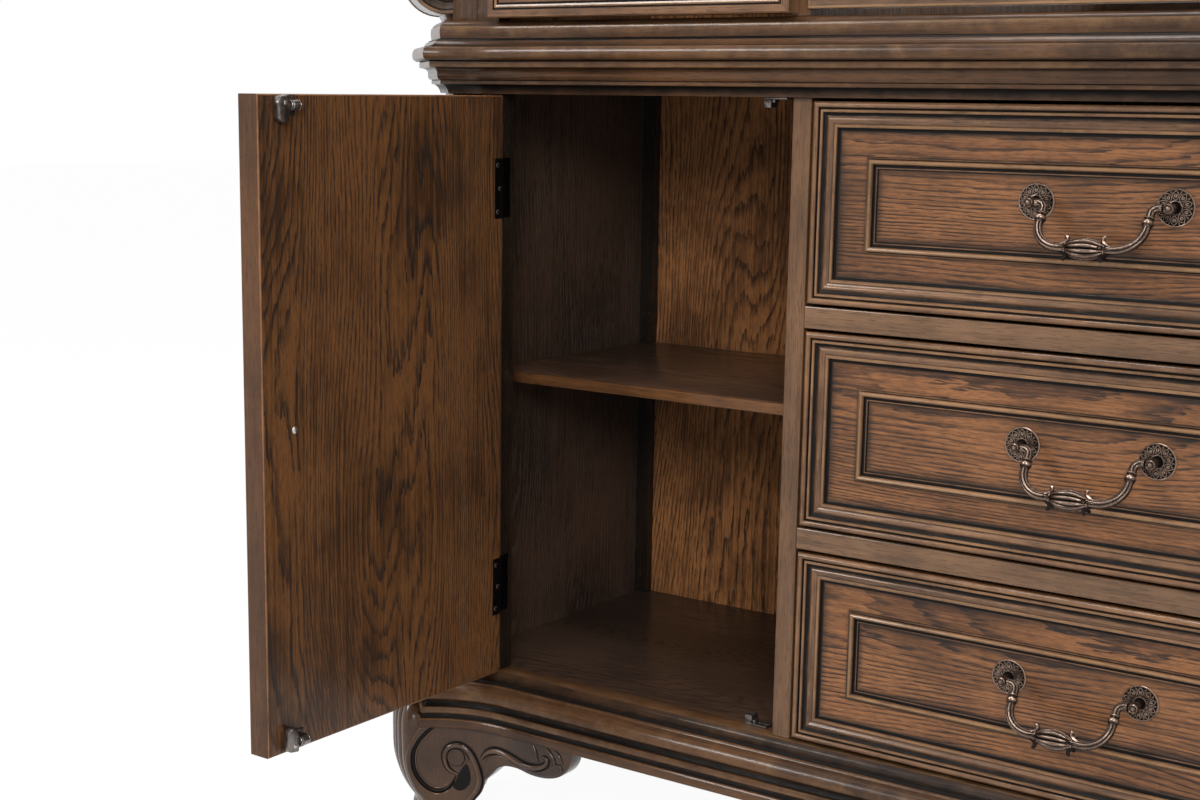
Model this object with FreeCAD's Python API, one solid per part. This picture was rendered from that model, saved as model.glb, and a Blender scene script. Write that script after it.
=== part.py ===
import FreeCAD, Part
import os
from math import acos, cos, pi, sin, sqrt

# Dresser with hutch: a sideboard base with two side doors and three centre drawers,
# canted and flared corners on scroll feet, and a hutch with two glass doors on top.
# Millimetres. X to the right, the front faces -Y, +Z up; the ground is z = 0 and the
# origin is the foot of the middle leg, at the middle of the width and of the case depth.

# ---- widths and depths of the case ----
centre_opening = 559.0      # clear width between the dividers
divider_board = 19.2        # upright boards between the drawers and the side cupboards
side_opening = 340.0        # clear width of each side cupboard's doorway
corner_bay = 67.6           # from the doorway's edge to the inner face of the side
side_board = 17.4
case_depth = 384.0          # face of the front frame to the back of the back panel
back_board = 6.0
frame_board = 20.0          # depth of the front frame's stiles

# ---- heights ----
foot_height = 120.0         # ground to the lower edge of the apron
apron_height = 62.0         # apron moulding, up to the cupboard floor
floor_board = 18.0
opening_height = 620.0      # cupboard floor to the underside of the top moulding
top_moulding_height = 33.0
top_board = 22.0
hutch_board = 18.0          # bottom board of the hutch
hutch_opening = 1147.0      # hutch bottom board to the underside of the crown
crown_height = 75.0

# ---- canted, flared corners ----
flare_radius = 153.0        # plan radius of the flare, at the face of the case
flare_start = 108.6         # where the flare starts, in from the side of the case
top_cant = -12.0            # place of the canted face along the corner's diagonal
apron_cant = -1.0
post_half_width = 40.0
post_reach = -10.0          # canted face of the corner posts along the diagonal
moulding_backing = 18.0     # thickness of the boards behind the moulded faces

# ---- side doors of the base ----
door_panel = 19.0
door_relief = 6.8           # height of the applied frame moulding on a door
door_back_gap = 0.8         # between a closed door and the front frame
door_edge_gap = 1.1         # doorway's edge to the hinged edge of a closed door
door_overlay = 8.1          # how far a door covers the divider
door_bottom_gap = 1.0
door_top_gap = 1.5
left_door_open = 91.0       # degrees; the left door is drawn open

# ---- knobs ----
knob_inset = 41.0           # from the free edge of a door
knob_height = 311.0         # above the cupboard floor
knob_radius = 15.0
knob_stem = 16.0
knob_stem_radius = 5.5
knob_rose = 3.0
knob_rose_radius = 11.0

# ---- butt hinges ----
hinge_length = 62.0
hinge_leaf_width = 13.0
hinge_leaf = 1.6
hinge_barrel = 2.6
hinge_pin = 1.2
hinge_clearance = 0.05
hinge_knuckle_gap = 0.4
hinge_pivot_out = 1.0       # barrel axis outside the door's edge
hinge_pivot_front = 5.4     # barrel axis in front of the door's inner face
hinge_room_gap = 0.3        # between a barrel and the recess in the door
hinge_heights = (98.0, 523.5)

# ---- catches ----
catch_inset = 38.0          # from the free edge of a door
catch_width = 15.0
catch_height = 19.0
catch_plate = 2.0
catch_lift = 2.0            # door plate above the cupboard floor
catch_tongue = 11.0
catch_tongue_thickness = 3.0
catch_body_length = 28.0
catch_setback = 8.0         # face of the front frame to the front of the catch body
catch_slack = 1.0

# ---- drawers ----
drawer_count = 3
rail_height = 20.7
rail_depth = 60.0
drawer_gap = 3.0            # round a drawer front
drawer_front_board = 19.0
drawer_field_setback = 5.0  # field of a drawer front behind the face of the case
drawer_relief = 8.0         # height of the applied frame moulding on a drawer front
drawer_back_gap = 34.0      # between a shut drawer and the back panel
drawer_box_height = 140.0
drawer_box_lift = 22.0      # lower edge of the drawer front to the box
drawer_side_board = 12.0
drawer_bottom_board = 6.0
drawer_bottom_lift = 10.0
drawer_side_gap = 6.0       # between a drawer's side and the divider
runner_height = 20.0
runner_setback = 30.0
runner_back_gap = 18.0
runner_engagement = 6.0     # depth of a runner in the groove of a drawer's side
runner_slack = 0.4

# ---- applied mouldings ----
frame_moulding_width = 27.0
bead_width = 11.5
bead_relief = 5.0
drawer_bead_side = 20.0     # flat field beside the inner bead
drawer_bead_clearance = 2.7 # between the rosettes and the inner bead above them
door_bead = 28.0            # flat field round the inner bead of a door

# ---- bail pulls ----
pull_spacing = 120.0
pull_rise = 10.5            # pivots above the middle of the drawer front
rosette_radius = 16.2
rosette_rim = 2.0
rosette_dome = 4.0
rosette_crown = 6.0         # radius of the dome's flat top
post_radius = 3.4
pivot_standoff = 17.0       # pivots in front of the field
ball_radius = 4.8
bail_pin = 1.5
bail_pin_clearance = 0.08
bail_pin_depth = 4.0
bail_side_gap = 0.4         # between a ball and the end of the bail
bail_radius = 2.9
bail_elbow = 6.0
bail_arm_inset = 14.0       # arms inside the pivots
bail_drop = 42.4            # from the pivots to the grip, measured along the bail
bail_sweep = 22.4
bail_lean = 34.5            # degrees that the bail stands forward of vertical
collar_radius = 4.6
collar_length = 5.0
collar_drop = 12.0
grip_length = 33.0
grip_radius = 9.0
grip_neck = 4.0

# ---- cupboard fittings ----
shelf_height = 318.5        # top of the shelf above the cupboard floor
shelf_board = 11.9
shelf_setback = 70.0
shelf_gap = 1.0
shelf_pin_radius = 2.5
shelf_pin_length = 8.0
shelf_pin_inset = 40.0
cleat_width = 17.6
cleat_depth = 12.0

# ---- feet ----
foot_half_width = 52.0
foot_block_half = 25.0      # block above each front foot, inside the apron
foot_block_near = -55.0     # its two faces along the diagonal
foot_block_far = -85.0
knee_half_width = 30.0
wing_board = 22.0
wing_face = 28.0            # face of a wing in front of the face of the case
rear_foot = 58.0
rear_foot_taper = 8.0
rear_foot_inset = 6.0
middle_leg = 46.0

# ---- hutch ----
hutch_face = 8.0            # face of the hutch in front of the face of the base
hutch_rail = 60.0
hutch_low_rail = 45.0       # height of the rail below the open bay
hutch_low_rail_gap = 6.5    # its lower edge above the hutch's bottom board
hutch_low_rail_face = 6.0   # its face in front of the face of the hutch
hutch_door_board = 20.0
hutch_door_frame = 50.0
hutch_door_bottom_gap = 2.5
hutch_rail_overlay = 10.0
hutch_hinge_heights = (120.0, 547.0, 974.0)
hutch_knob_inset = 25.0
hutch_knob_height = 480.0
hutch_knob_scale = 0.75
glass = 4.0
glass_rebate = 8.0
glass_bed = 4.0             # back of a pane in front of the door's inner face
mirror_glass = 4.0
glass_shelf = 6.0
glass_shelf_setback = 40.0
hutch_shelf_heights = (350.0, 700.0)
hutch_top_board = 18.0
console_half_width = 36.0
console_board = 6.0
volute_half_width = 42.0
volute_radius = 39.0
volute_along = -2.4         # middle of the volute along the corner's diagonal
volute_height = 46.0        # middle of the volute above the hutch's bottom board
upper_volute_radius = 20.0
upper_volute_drop = 37.0    # middle of the upper volute below the crown

# ---- places worked out from the sizes ----
front = -case_depth / 2
back = case_depth / 2
centre_half = centre_opening / 2
doorway_in = centre_half + divider_board
doorway_out = doorway_in + side_opening
inner_half = doorway_out + corner_bay
outer_half = inner_half + side_board
inner_back = back - back_board
stile_out = outer_half - sqrt(2) * post_half_width
side_front = front + sqrt(2) * post_half_width
z_floor = foot_height + apron_height
z_block = z_floor - floor_board
z_case = z_floor + opening_height
z_under_top = z_case + top_moulding_height
z_top = z_under_top + top_board
z_hutch = z_top + hutch_board
z_crown = z_hutch + hutch_opening
hutch_front = front - hutch_face
door_width = side_opening - door_edge_gap + door_overlay
door_hung = -doorway_out + door_edge_gap
door_free = door_hung + door_width
drawer_opening = (opening_height - (drawer_count - 1) * rail_height) / drawer_count
drawer_width = centre_opening - 2 * drawer_gap
drawer_height = drawer_opening - 2 * drawer_gap
drawer_field = front + drawer_field_setback
drawer_bead_top = (drawer_height / 2 - frame_moulding_width - bead_width - pull_rise
                   - rosette_radius - drawer_bead_clearance)
hinge_x = doorway_out - door_edge_gap + hinge_pivot_out

# Sections of the mouldings that run round the case: height, scaled to the height of the
# moulding, and projection from the face of the case.
apron_profile = ((0, 30), (10, 30), (11, 25), (16, 25), (17, 28), (22, 28), (23, 22), (31, 23),
                 (32, 27), (34, 27.5), (42, 24), (48, 17), (49.5, 16), (50, 12.5), (52.5, 12),
                 (54, 9), (57, 6), (60, 5), (62, 2))
top_moulding_profile = ((0, 7), (4, 9), (9, 13), (9.5, 16), (13.5, 16), (14, 18.5), (19, 20),
                        (26, 26), (26.5, 28.5), (33, 28.5))
top_board_profile = ((0, 33), (2, 35), (12, 35), (14.5, 33), (17, 27), (20, 20), (22, 18.5))
hutch_board_profile = ((0, 15), (2, 17), (12, 17), (14, 16), (18, 11))
crown_profile = ((0, 10), (6, 10), (6.5, 12), (10, 15), (14, 16), (14.5, 18), (22, 20), (32, 27),
                 (40, 38), (46, 44), (46.5, 48), (52, 48), (52.5, 52), (64, 54), (70, 52), (75, 44))

# Sections of the mouldings on doors and drawer fronts: distance in from the outer edge in
# shares of the width, and height above the field in shares of the relief.
frame_section = ((0, 0.6), (0.04, 0.85), (0.16, 1), (0.22, 0.8), (0.23, 0.55), (0.3, 0.55),
                 (0.31, 0.75), (0.41, 0.75), (0.42, 0.5), (0.55, 0.42), (0.67, 0.5), (0.78, 0.35),
                 (0.8, 0.45), (0.9, 0.45), (0.91, 0.12), (1, 0.12))
bead_section = ((0, 0.3), (0.18, 0.3), (0.22, 0.8), (0.4, 1), (0.6, 0.75), (0.62, 0.3), (1, 0.3))

# Scroll foot in the diagonal plane: place along the diagonal, height in shares of the foot.
scroll_front = ((29, 1), (36.9, 0.875), (41.3, 0.775), (43.5, 0.675), (41.3, 0.575), (37.4, 0.475),
                (31.3, 0.367), (22.5, 0.267), (18, 0.142), (22, 0))
scroll_back = ((-30, 0), (-34, 0.142), (-36, 0.3), (-38, 0.48), (-48, 0.66), (-66, 0.82), (-90, 1))
knee = ((29, 1.217), (36, 1.2), (43, 1.117), (45, 1.017), (44, 0.85), (41, 0.78), (29, 0.85))
# Lower edge of a bracket wing: distance from the outer corner, height in shares of the foot.
wing_edge = ((213, 1), (212, 0.933), (203, 0.825), (187, 0.742), (167, 0.692), (147, 0.683),
             (130, 0.717), (122, 0.767), (112, 0.783), (100, 0.725), (92, 0.642), (84, 0.467),
             (40, 0.4))
# Stem of the console: place along the diagonal, height above the hutch board or below the crown.
lower_stem = ((-8, 65), (33, 65), (22, 100), (8, 135), (0, 185), (-8, 275))
upper_stem = ((-8, -172), (0, -122), (6, -82), (16, -47), (-8, -37))


def vec(x, y, z):
    return FreeCAD.Vector(x, y, z)


def box(x0, x1, y0, y1, z0, z1):
    """Block between two corners."""
    return Part.makeBox(x1 - x0, y1 - y0, z1 - z0, vec(x0, y0, z0))


def cylinder(radius, length, start, direction):
    return Part.makeCylinder(radius, length, start, direction)


def mirrored(shape):
    """Copy on the other side of the middle plane."""
    return shape.mirror(vec(0, 0, 0), vec(1, 0, 0))


def pair(shape):
    """A left piece and its mirror image."""
    return [shape, mirrored(shape)]


def fuse(shapes):
    return shapes[0].multiFuse(shapes[1:]).removeSplitter()


def prism(points, depth):
    """Polygon through 3-D points, pushed along a vector."""
    return Part.Face(Part.makePolygon(points + points[:1])).extrude(depth)


def curve(points):
    """Flowing edge through 3-D points."""
    spline = Part.BSplineCurve()
    spline.interpolate(points)
    return spline.toShape()


def save(name, *pieces):
    """One sub-part, as separate solids, in one file."""
    solids = [solid for piece in pieces for solid in piece.Solids]
    shape = solids[0] if len(solids) == 1 else Part.makeCompound(solids)
    shape.exportStep("parts/%s.step" % name)


# ---- the canted corner ----
def corner_point(along, across, z):
    """Left corner: outwards along the diagonal, and across it towards the front."""
    x = -outer_half - (along - across) / sqrt(2)
    y = front - (along + across) / sqrt(2)
    return vec(x, y, z)


def across_corner(half_width):
    """Vector from one cheek of a corner piece to the other."""
    return vec(sqrt(2) * half_width, -sqrt(2) * half_width, 0)


def corner_prism(outline, half_width):
    """Outline in the diagonal plane, (along, z), between two cheeks."""
    points = [corner_point(along, -half_width, z) for along, z in outline]
    return prism(points, across_corner(half_width))


def flare_point(projection, angle):
    """Point of the front flare, in from the side and in front of the face."""
    radius = flare_radius - projection
    return flare_start - radius * sin(angle), -flare_radius + radius * cos(angle)


def flare_angle(projection, cant):
    """Where the flare at this projection meets its canted face."""
    radius = flare_radius - projection
    reach = flare_radius - flare_start - sqrt(2) * (cant + projection)
    return acos(reach / radius / sqrt(2)) - pi / 4


def outline(projection, cant, z):
    """Plan of the whole case at one level: straight front, flares, canted corners, sides."""
    angle = flare_angle(projection, cant)
    start, middle, end = [flare_point(projection, angle * share) for share in (0, 0.5, 1)]
    front_run = [vec(-outer_half + u, front + v, z) for u, v in (start, middle, end)]
    side_run = [vec(-outer_half + v, front + u, z) for u, v in (end, middle, start)]
    rear = vec(side_run[2].x, back, z)
    edges = []
    for run in ((side_run[2], rear), side_run, (front_run[2], side_run[0]), front_run):
        flipped = [vec(-p.x, p.y, p.z) for p in run]
        for points in (run, flipped):
            piece = Part.Arc(*points) if len(points) == 3 else Part.LineSegment(*points)
            edges.append(piece.toShape())
    for end_point in (rear, front_run[0]):
        edges.append(Part.makeLine(end_point, vec(-end_point.x, end_point.y, z)))
    return Part.Wire(Part.__sortEdges__(edges))


def moulded_board(profile, height, cant, z):
    """Full board whose front, corners and sides follow a moulding section."""
    scale = height / profile[-1][0]
    layers = []
    for (low, inner), (high, outer) in zip(profile, profile[1:]):
        wires = [outline(inner, cant, z + low * scale), outline(outer, cant, z + high * scale)]
        layers.append(Part.makeLoft(wires, True, True))
    return fuse(layers)


def inner_board(height, cant, z):
    """Board that fills the inside of a run of mouldings."""
    return Part.Face(outline(-moulding_backing, cant, z)).extrude(vec(0, 0, height))


def moulding_lengths(profile, height, cant, z):
    """A moulding as mitred lengths: front, two corners and two sides."""
    ring = moulded_board(profile, height, cant, z).cut(inner_board(height, cant, z))
    bend = outer_half - flare_start
    side_start = front + flare_start
    reach = 2 * outer_half
    middle = ring.common(box(-bend, bend, -reach, back, z, z + height))
    corner = ring.common(box(-reach, -bend, -reach, side_start, z, z + height))
    side = ring.common(box(-reach, -bend, side_start, back, z, z + height))
    return [middle] + pair(corner) + pair(side)


# ---- applied mouldings on doors and drawer fronts ----
def strips(section, width, relief, x0, x1, z0, z1, y):
    """Four mitred strips round a rectangle in the plane y, standing forward of it."""
    pieces = []
    middle = vec((x0 + x1) / 2, y, (z0 + z1) / 2)
    for turn, length, reach in ((0, x1 - x0, z1 - z0), (90, z1 - z0, x1 - x0)):
        half, outer = length / 2, reach / 2
        rise = [(outer - width * u, -relief * h) for u, h in section]
        face = [(rise[0][0], 0)] + rise + [(rise[-1][0], 0)]
        bar = prism([vec(-half, v, u) for u, v in face], vec(length, 0, 0))
        plan = [(-half, outer), (half, outer), (half - width, outer - width),
                (-half + width, outer - width)]
        mitre = prism([vec(u, -relief, v) for u, v in plan], vec(0, relief, 0))
        for half_turn in (0, 180):
            piece = bar.common(mitre)
            piece.rotate(vec(0, 0, 0), vec(0, 1, 0), turn + half_turn)
            piece.translate(middle)
            pieces.append(piece)
    return pieces


def framed_panel(x0, x1, z0, z1, y, relief, beside, above):
    """Mitred frame moulding round a panel, and the bead on its field."""
    bead_in = frame_moulding_width + beside
    bead_up = frame_moulding_width + above
    outer = strips(frame_section, frame_moulding_width, relief, x0, x1, z0, z1, y)
    inner = strips(bead_section, bead_width, bead_relief, x0 + bead_in, x1 - bead_in,
                   z0 + bead_up, z1 - bead_up, y)
    return outer + inner


# ---- case of the base ----
def base_case():
    save("base_sides", *pair(box(-outer_half, -inner_half, side_front, back, z_floor, z_case)))
    save("base_back", box(-inner_half, inner_half, inner_back, back, z_floor, z_case))
    save("base_floor", inner_board(floor_board, apron_cant, z_block))
    save("base_ceiling", inner_board(floor_board, top_cant, z_case))
    save("base_dividers", *pair(box(-doorway_in, -centre_half, front, inner_back, z_floor, z_case)))
    save("base_top", moulded_board(top_board_profile, top_board, top_cant, z_under_top))
    save("top_moulding", *moulding_lengths(top_moulding_profile, top_moulding_height, top_cant, z_case))
    save("apron_moulding", *moulding_lengths(apron_profile, apron_height, apron_cant, foot_height))


def corner_post(low, high, frame_front):
    """Left canted pilaster and the stile of the front frame beside it."""
    cheek = corner_point(post_reach, post_half_width, low)
    far_cheek = corner_point(post_reach, -post_half_width, low)
    points = [vec(-stile_out, frame_front, low), cheek, far_cheek, vec(-outer_half, side_front, low),
              vec(-inner_half, side_front, low), vec(-inner_half, frame_front + frame_board, low),
              vec(-stile_out, frame_front + frame_board, low)]
    pilaster = prism(points, vec(0, 0, high - low))
    stile = box(-stile_out, -doorway_out, frame_front, frame_front + frame_board, low, high)
    return pilaster, stile


def jamb_mortise(bottom, height, frame_front):
    """Recess for a hinge leaf in the edge of the left doorway's stile."""
    level = bottom + height
    return box(-doorway_out - hinge_leaf, -doorway_out, frame_front, frame_front + hinge_leaf_width,
               level - hinge_length / 2, level + hinge_length / 2)


def base_posts():
    pilaster, stile = corner_post(z_floor, z_case, front)
    for height in hinge_heights:
        stile = stile.cut(jamb_mortise(z_floor, height, front))
    save("corner_posts", *(pair(pilaster) + pair(stile)))


# ---- shelves, pegs and battens ----
def shelf_pins(x_low, x_high, y_low, y_high, under):
    """Four pegs that carry one shelf, on the boards at its ends."""
    pins = []
    for x, inward in ((x_low, 1), (x_high, -1)):
        for y in (y_low + shelf_pin_inset, y_high - shelf_pin_inset):
            start = vec(x, y, under - shelf_pin_radius)
            pins.append(cylinder(shelf_pin_radius, shelf_pin_length, start, vec(inward, 0, 0)))
    return pins


def shelves():
    """Wooden shelves of the cupboards, glass shelves of the hutch, and all their pegs."""
    top = z_floor + shelf_height
    under = top - shelf_board
    shelf_front = front + shelf_setback
    shelf_back = inner_back - shelf_gap
    board = box(-inner_half + shelf_gap, -doorway_in - shelf_gap, shelf_front, shelf_back, under, top)
    notch = box(-inner_half, -inner_half + cleat_width + shelf_gap,
                inner_back - cleat_depth - shelf_gap, inner_back, under, top)
    save("base_shelves", *pair(board.cut(notch)))
    pegs = []
    for pin in shelf_pins(-inner_half, -doorway_in, shelf_front, shelf_back, under):
        pegs += pair(pin)

    panes = []
    pane_front = hutch_front + glass_shelf_setback
    centre_back = inner_back - mirror_glass - shelf_gap
    for height in hutch_shelf_heights:
        low = z_hutch + height
        panes += pair(box(-inner_half + shelf_gap, -doorway_in - shelf_gap, pane_front, shelf_back,
                          low, low + glass_shelf))
        panes.append(box(-centre_half + shelf_gap, centre_half - shelf_gap, pane_front, centre_back,
                         low, low + glass_shelf))
        for pin in shelf_pins(-inner_half, -doorway_in, pane_front, shelf_back, low):
            pegs += pair(pin)
        pegs += shelf_pins(-centre_half, centre_half, pane_front, centre_back, low)
    save("hutch_shelves", *panes)
    save("shelf_pins", *pegs)


def cleats():
    """Square battens up the back corners of the cupboards."""
    save("corner_cleats", *pair(box(-inner_half, -inner_half + cleat_width, inner_back - cleat_depth,
                                    inner_back, z_floor, z_case)))


# ---- hinges, knobs and catches ----
def door_hinge(bottom, height, frame_front):
    """One hinge of a left doorway, door closed: frame leaf with its pin, and door leaf."""
    inner = frame_front - door_back_gap
    low = bottom + height - hinge_length / 2
    high = low + hinge_length
    knuckle = (hinge_length - 2 * hinge_knuckle_gap) / 3
    middle_low = knuckle + hinge_knuckle_gap
    swing = hinge_barrel + 2 * hinge_clearance
    axis = vec(-hinge_x, inner - hinge_pivot_front, low)

    def barrel(radius, start, length):
        return cylinder(radius, length, axis + vec(0, 0, start), vec(0, 0, 1))

    frame_leaf = box(-doorway_out - hinge_leaf, -doorway_out, axis.y, frame_front + hinge_leaf_width,
                     low, high)
    frame_leaf = frame_leaf.cut(barrel(swing, knuckle, knuckle + 2 * hinge_knuckle_gap))
    frame_part = fuse([frame_leaf, barrel(hinge_barrel, 0, knuckle),
                       barrel(hinge_barrel, hinge_length - knuckle, knuckle),
                       barrel(hinge_pin, 0, hinge_length)])

    door_leaf = box(door_hung, door_hung + hinge_leaf_width, inner - hinge_leaf, inner, low, high)
    wrap = box(door_hung, door_hung + hinge_leaf, axis.y, inner, low, high)
    door_part = fuse([door_leaf, wrap, barrel(hinge_barrel, middle_low, knuckle)])
    door_part = door_part.cut(barrel(hinge_pin + hinge_clearance, 0, hinge_length))
    for start in (0, hinge_length - middle_low):
        door_part = door_part.cut(barrel(swing, start, middle_low))
    return frame_part, door_part


def hinge_room(bottom, height, frame_front):
    """What a hinge takes out of the hinged edge and the inner face of a left door."""
    inner = frame_front - door_back_gap
    low = bottom + height - hinge_length / 2
    high = low + hinge_length
    reach = hinge_barrel - hinge_pivot_out + hinge_room_gap
    depth = hinge_pivot_front + hinge_barrel + hinge_room_gap
    return fuse([box(door_hung, door_hung + reach, inner - depth, inner, low, high),
                 box(door_hung, door_hung + hinge_leaf_width, inner - hinge_leaf, inner, low, high)])


def knob(x, y, z, scale):
    """Turned knob standing forward of a face."""
    forward = vec(0, -1, 0)
    foot = vec(x, y, z)
    ball = Part.makeSphere(knob_radius * scale)
    ball.translate(foot + forward * ((knob_stem + knob_radius / 2) * scale))
    return fuse([cylinder(knob_rose_radius * scale, knob_rose * scale, foot, forward),
                 cylinder(knob_stem_radius * scale, knob_stem * scale, foot, forward), ball])


def catch(x, level, up):
    """Tongue on a door and jawed body in the cupboard, closed; up is 1 on the floor."""
    inner = front - door_back_gap
    half = catch_width / 2

    def block(half_width, y0, y1, low, high):
        z_low, z_high = sorted((level + up * low, level + up * high))
        return box(x - half_width, x + half_width, y0, y1, z_low, z_high)

    plate_top = catch_lift + catch_height
    middle = catch_lift + catch_height / 2
    tongue_low = middle - catch_tongue_thickness / 2
    tongue_high = middle + catch_tongue_thickness / 2
    tongue_end = inner + catch_plate + catch_tongue
    tongue = fuse([block(half, inner, inner + catch_plate, catch_lift, plate_top),
                   block(half / 2, inner, tongue_end, tongue_low, tongue_high)])
    body_front = front + catch_setback
    body = block(half, body_front, body_front + catch_body_length, 0, plate_top)
    jaw = block(half, body_front, tongue_end + catch_slack, tongue_low - catch_slack,
                tongue_high + catch_slack)
    return tongue, body.cut(jaw)


# ---- doors ----
def base_doors():
    """Both cupboard doors, the left one swung open; returns the left frame leaves."""
    inner = front - door_back_gap
    low = z_floor + door_bottom_gap
    high = z_case - door_top_gap
    face = inner - door_panel
    panel = box(door_hung, door_free, face, inner, low, high)
    frame_leaves = []
    fittings = []
    for height in hinge_heights:
        panel = panel.cut(hinge_room(z_floor, height, front))
        frame_part, door_part = door_hinge(z_floor, height, front)
        frame_leaves.append(frame_part)
        fittings.append(door_part)
    bodies = []
    for level, up in ((z_floor, 1), (z_case, -1)):
        tongue, body = catch(door_free - catch_inset, level, up)
        fittings.append(tongue)
        bodies += pair(body)
    save("base_catches", *bodies)
    moulding = framed_panel(door_hung, door_free, low, high, face, door_relief, door_bead, door_bead)
    pull = knob(door_free - knob_inset, face, z_floor + knob_height, 1)
    pieces = {"panel": [panel], "moulding": moulding, "fittings": fittings, "knob": [pull]}
    for name, solids in pieces.items():
        save("right_door_" + name, *[mirrored(solid) for solid in solids])
        for solid in solids:
            solid.rotate(vec(-hinge_x, inner - hinge_pivot_front, 0), vec(0, 0, 1), -left_door_open)
        save("left_door_" + name, *solids)
    return frame_leaves


def hutch_doors():
    """Two glazed doors of the hutch, closed; returns the left frame leaves."""
    inner = hutch_front - door_back_gap
    face = inner - hutch_door_board
    low = z_hutch + hutch_door_bottom_gap
    high = z_crown - hutch_rail + hutch_rail_overlay
    left, right = door_hung + hutch_door_frame, door_free - hutch_door_frame
    bottom, top = low + hutch_door_frame, high - hutch_door_frame
    members = [box(door_hung, left, face, inner, low, high), box(right, door_free, face, inner, low, high),
               box(left, right, face, inner, low, bottom), box(left, right, face, inner, top, high)]
    pane_back = inner - glass_bed
    pane = box(left - glass_rebate, right + glass_rebate, pane_back - glass, pane_back,
               bottom - glass_rebate, top + glass_rebate)
    rebate = box(left - glass_rebate, right + glass_rebate, pane_back - glass, inner,
                 bottom - glass_rebate, top + glass_rebate)
    fittings = [knob(door_free - hutch_knob_inset, face, z_hutch + hutch_knob_height, hutch_knob_scale)]
    frame_leaves = []
    for height in hutch_hinge_heights:
        members[0] = members[0].cut(hinge_room(z_hutch, height, hutch_front))
        frame_part, door_part = door_hinge(z_hutch, height, hutch_front)
        frame_leaves.append(frame_part)
        fittings.append(door_part)
    pieces = {"frame": [member.cut(rebate) for member in members], "glass": [pane],
              "fittings": fittings}
    for name, solids in pieces.items():
        save("hutch_left_door_" + name, *solids)
        save("hutch_right_door_" + name, *[mirrored(solid) for solid in solids])
    return frame_leaves


# ---- drawers ----
def drawer_case():
    """Rails between the drawers and the runners that carry them."""
    rails = []
    runners = []
    for level in range(drawer_count):
        low = z_floor + level * (drawer_opening + rail_height)
        if level:
            rails.append(box(-centre_half, centre_half, front, front + rail_depth, low - rail_height, low))
        middle = runner_level(low)
        runners += pair(box(-centre_half, -centre_half + drawer_side_gap + runner_engagement,
                            front + runner_setback, inner_back - runner_back_gap,
                            middle - runner_height / 2, middle + runner_height / 2))
    save("drawer_rails", *rails)
    save("drawer_runners", *runners)


def runner_level(opening_low):
    """Middle of the runners of the drawer in an opening."""
    return opening_low + drawer_gap + drawer_box_lift + drawer_box_height / 2


def drawer(number):
    """Front, mouldings, box, rosettes and bail of one drawer, shut."""
    opening_low = z_floor + (number - 1) * (drawer_opening + rail_height)
    low = opening_low + drawer_gap
    high = low + drawer_height
    half = drawer_width / 2
    name = "drawer_%d_" % number
    box_front = drawer_field + drawer_front_board
    save(name + "front", box(-half, half, drawer_field, box_front, low, high))
    save(name + "moulding", *framed_panel(-half, half, low, high, drawer_field, drawer_relief,
                                          drawer_bead_side, drawer_bead_top))
    save(name + "box", *drawer_box(box_front, low + drawer_box_lift, runner_level(opening_low)))
    pivot_z = (low + high) / 2 + pull_rise
    save(name + "rosettes", *pair(rosette(pivot_z)))
    save(name + "bail", bail(pivot_z))


def drawer_box(box_front, box_low, groove_middle):
    """Grooved sides, two ends and the bottom."""
    outside = centre_half - drawer_side_gap
    inside = outside - drawer_side_board
    box_back = inner_back - drawer_back_gap
    box_high = box_low + drawer_box_height
    groove_half = runner_height / 2 + runner_slack
    groove = box(-outside, -outside + runner_engagement + runner_slack, box_front, box_back,
                 groove_middle - groove_half, groove_middle + groove_half)
    side = box(-outside, -inside, box_front, box_back, box_low, box_high).cut(groove)
    ends = [box(-inside, inside, y, y + drawer_side_board, box_low, box_high)
            for y in (box_front, box_back - drawer_side_board)]
    bottom_low = box_low + drawer_bottom_lift
    bottom = box(-inside, inside, box_front + drawer_side_board, box_back - drawer_side_board,
                 bottom_low, bottom_low + drawer_bottom_board)
    return pair(side) + ends + [bottom]


def rosette(pivot_z):
    """Left rosette with its ball-ended post, drilled for the bail's pin."""
    forward = vec(0, -1, 0)
    foot = vec(-pull_spacing / 2, drawer_field, pivot_z)
    ball_centre = foot + forward * pivot_standoff
    plate = cylinder(rosette_radius, rosette_rim, foot, forward)
    dome = Part.makeCone(rosette_radius - rosette_rim, rosette_crown, rosette_dome,
                         foot + forward * rosette_rim, forward)
    stem = cylinder(post_radius, pivot_standoff, foot, forward)
    ball = Part.makeSphere(ball_radius, ball_centre, forward)
    depth = bail_pin_depth + bail_side_gap
    socket = cylinder(bail_pin + bail_pin_clearance, ball_radius,
                      ball_centre + vec(ball_radius - depth, 0, 0), vec(1, 0, 0))
    return fuse([plate, dome, stem, ball]).cut(socket)


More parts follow.
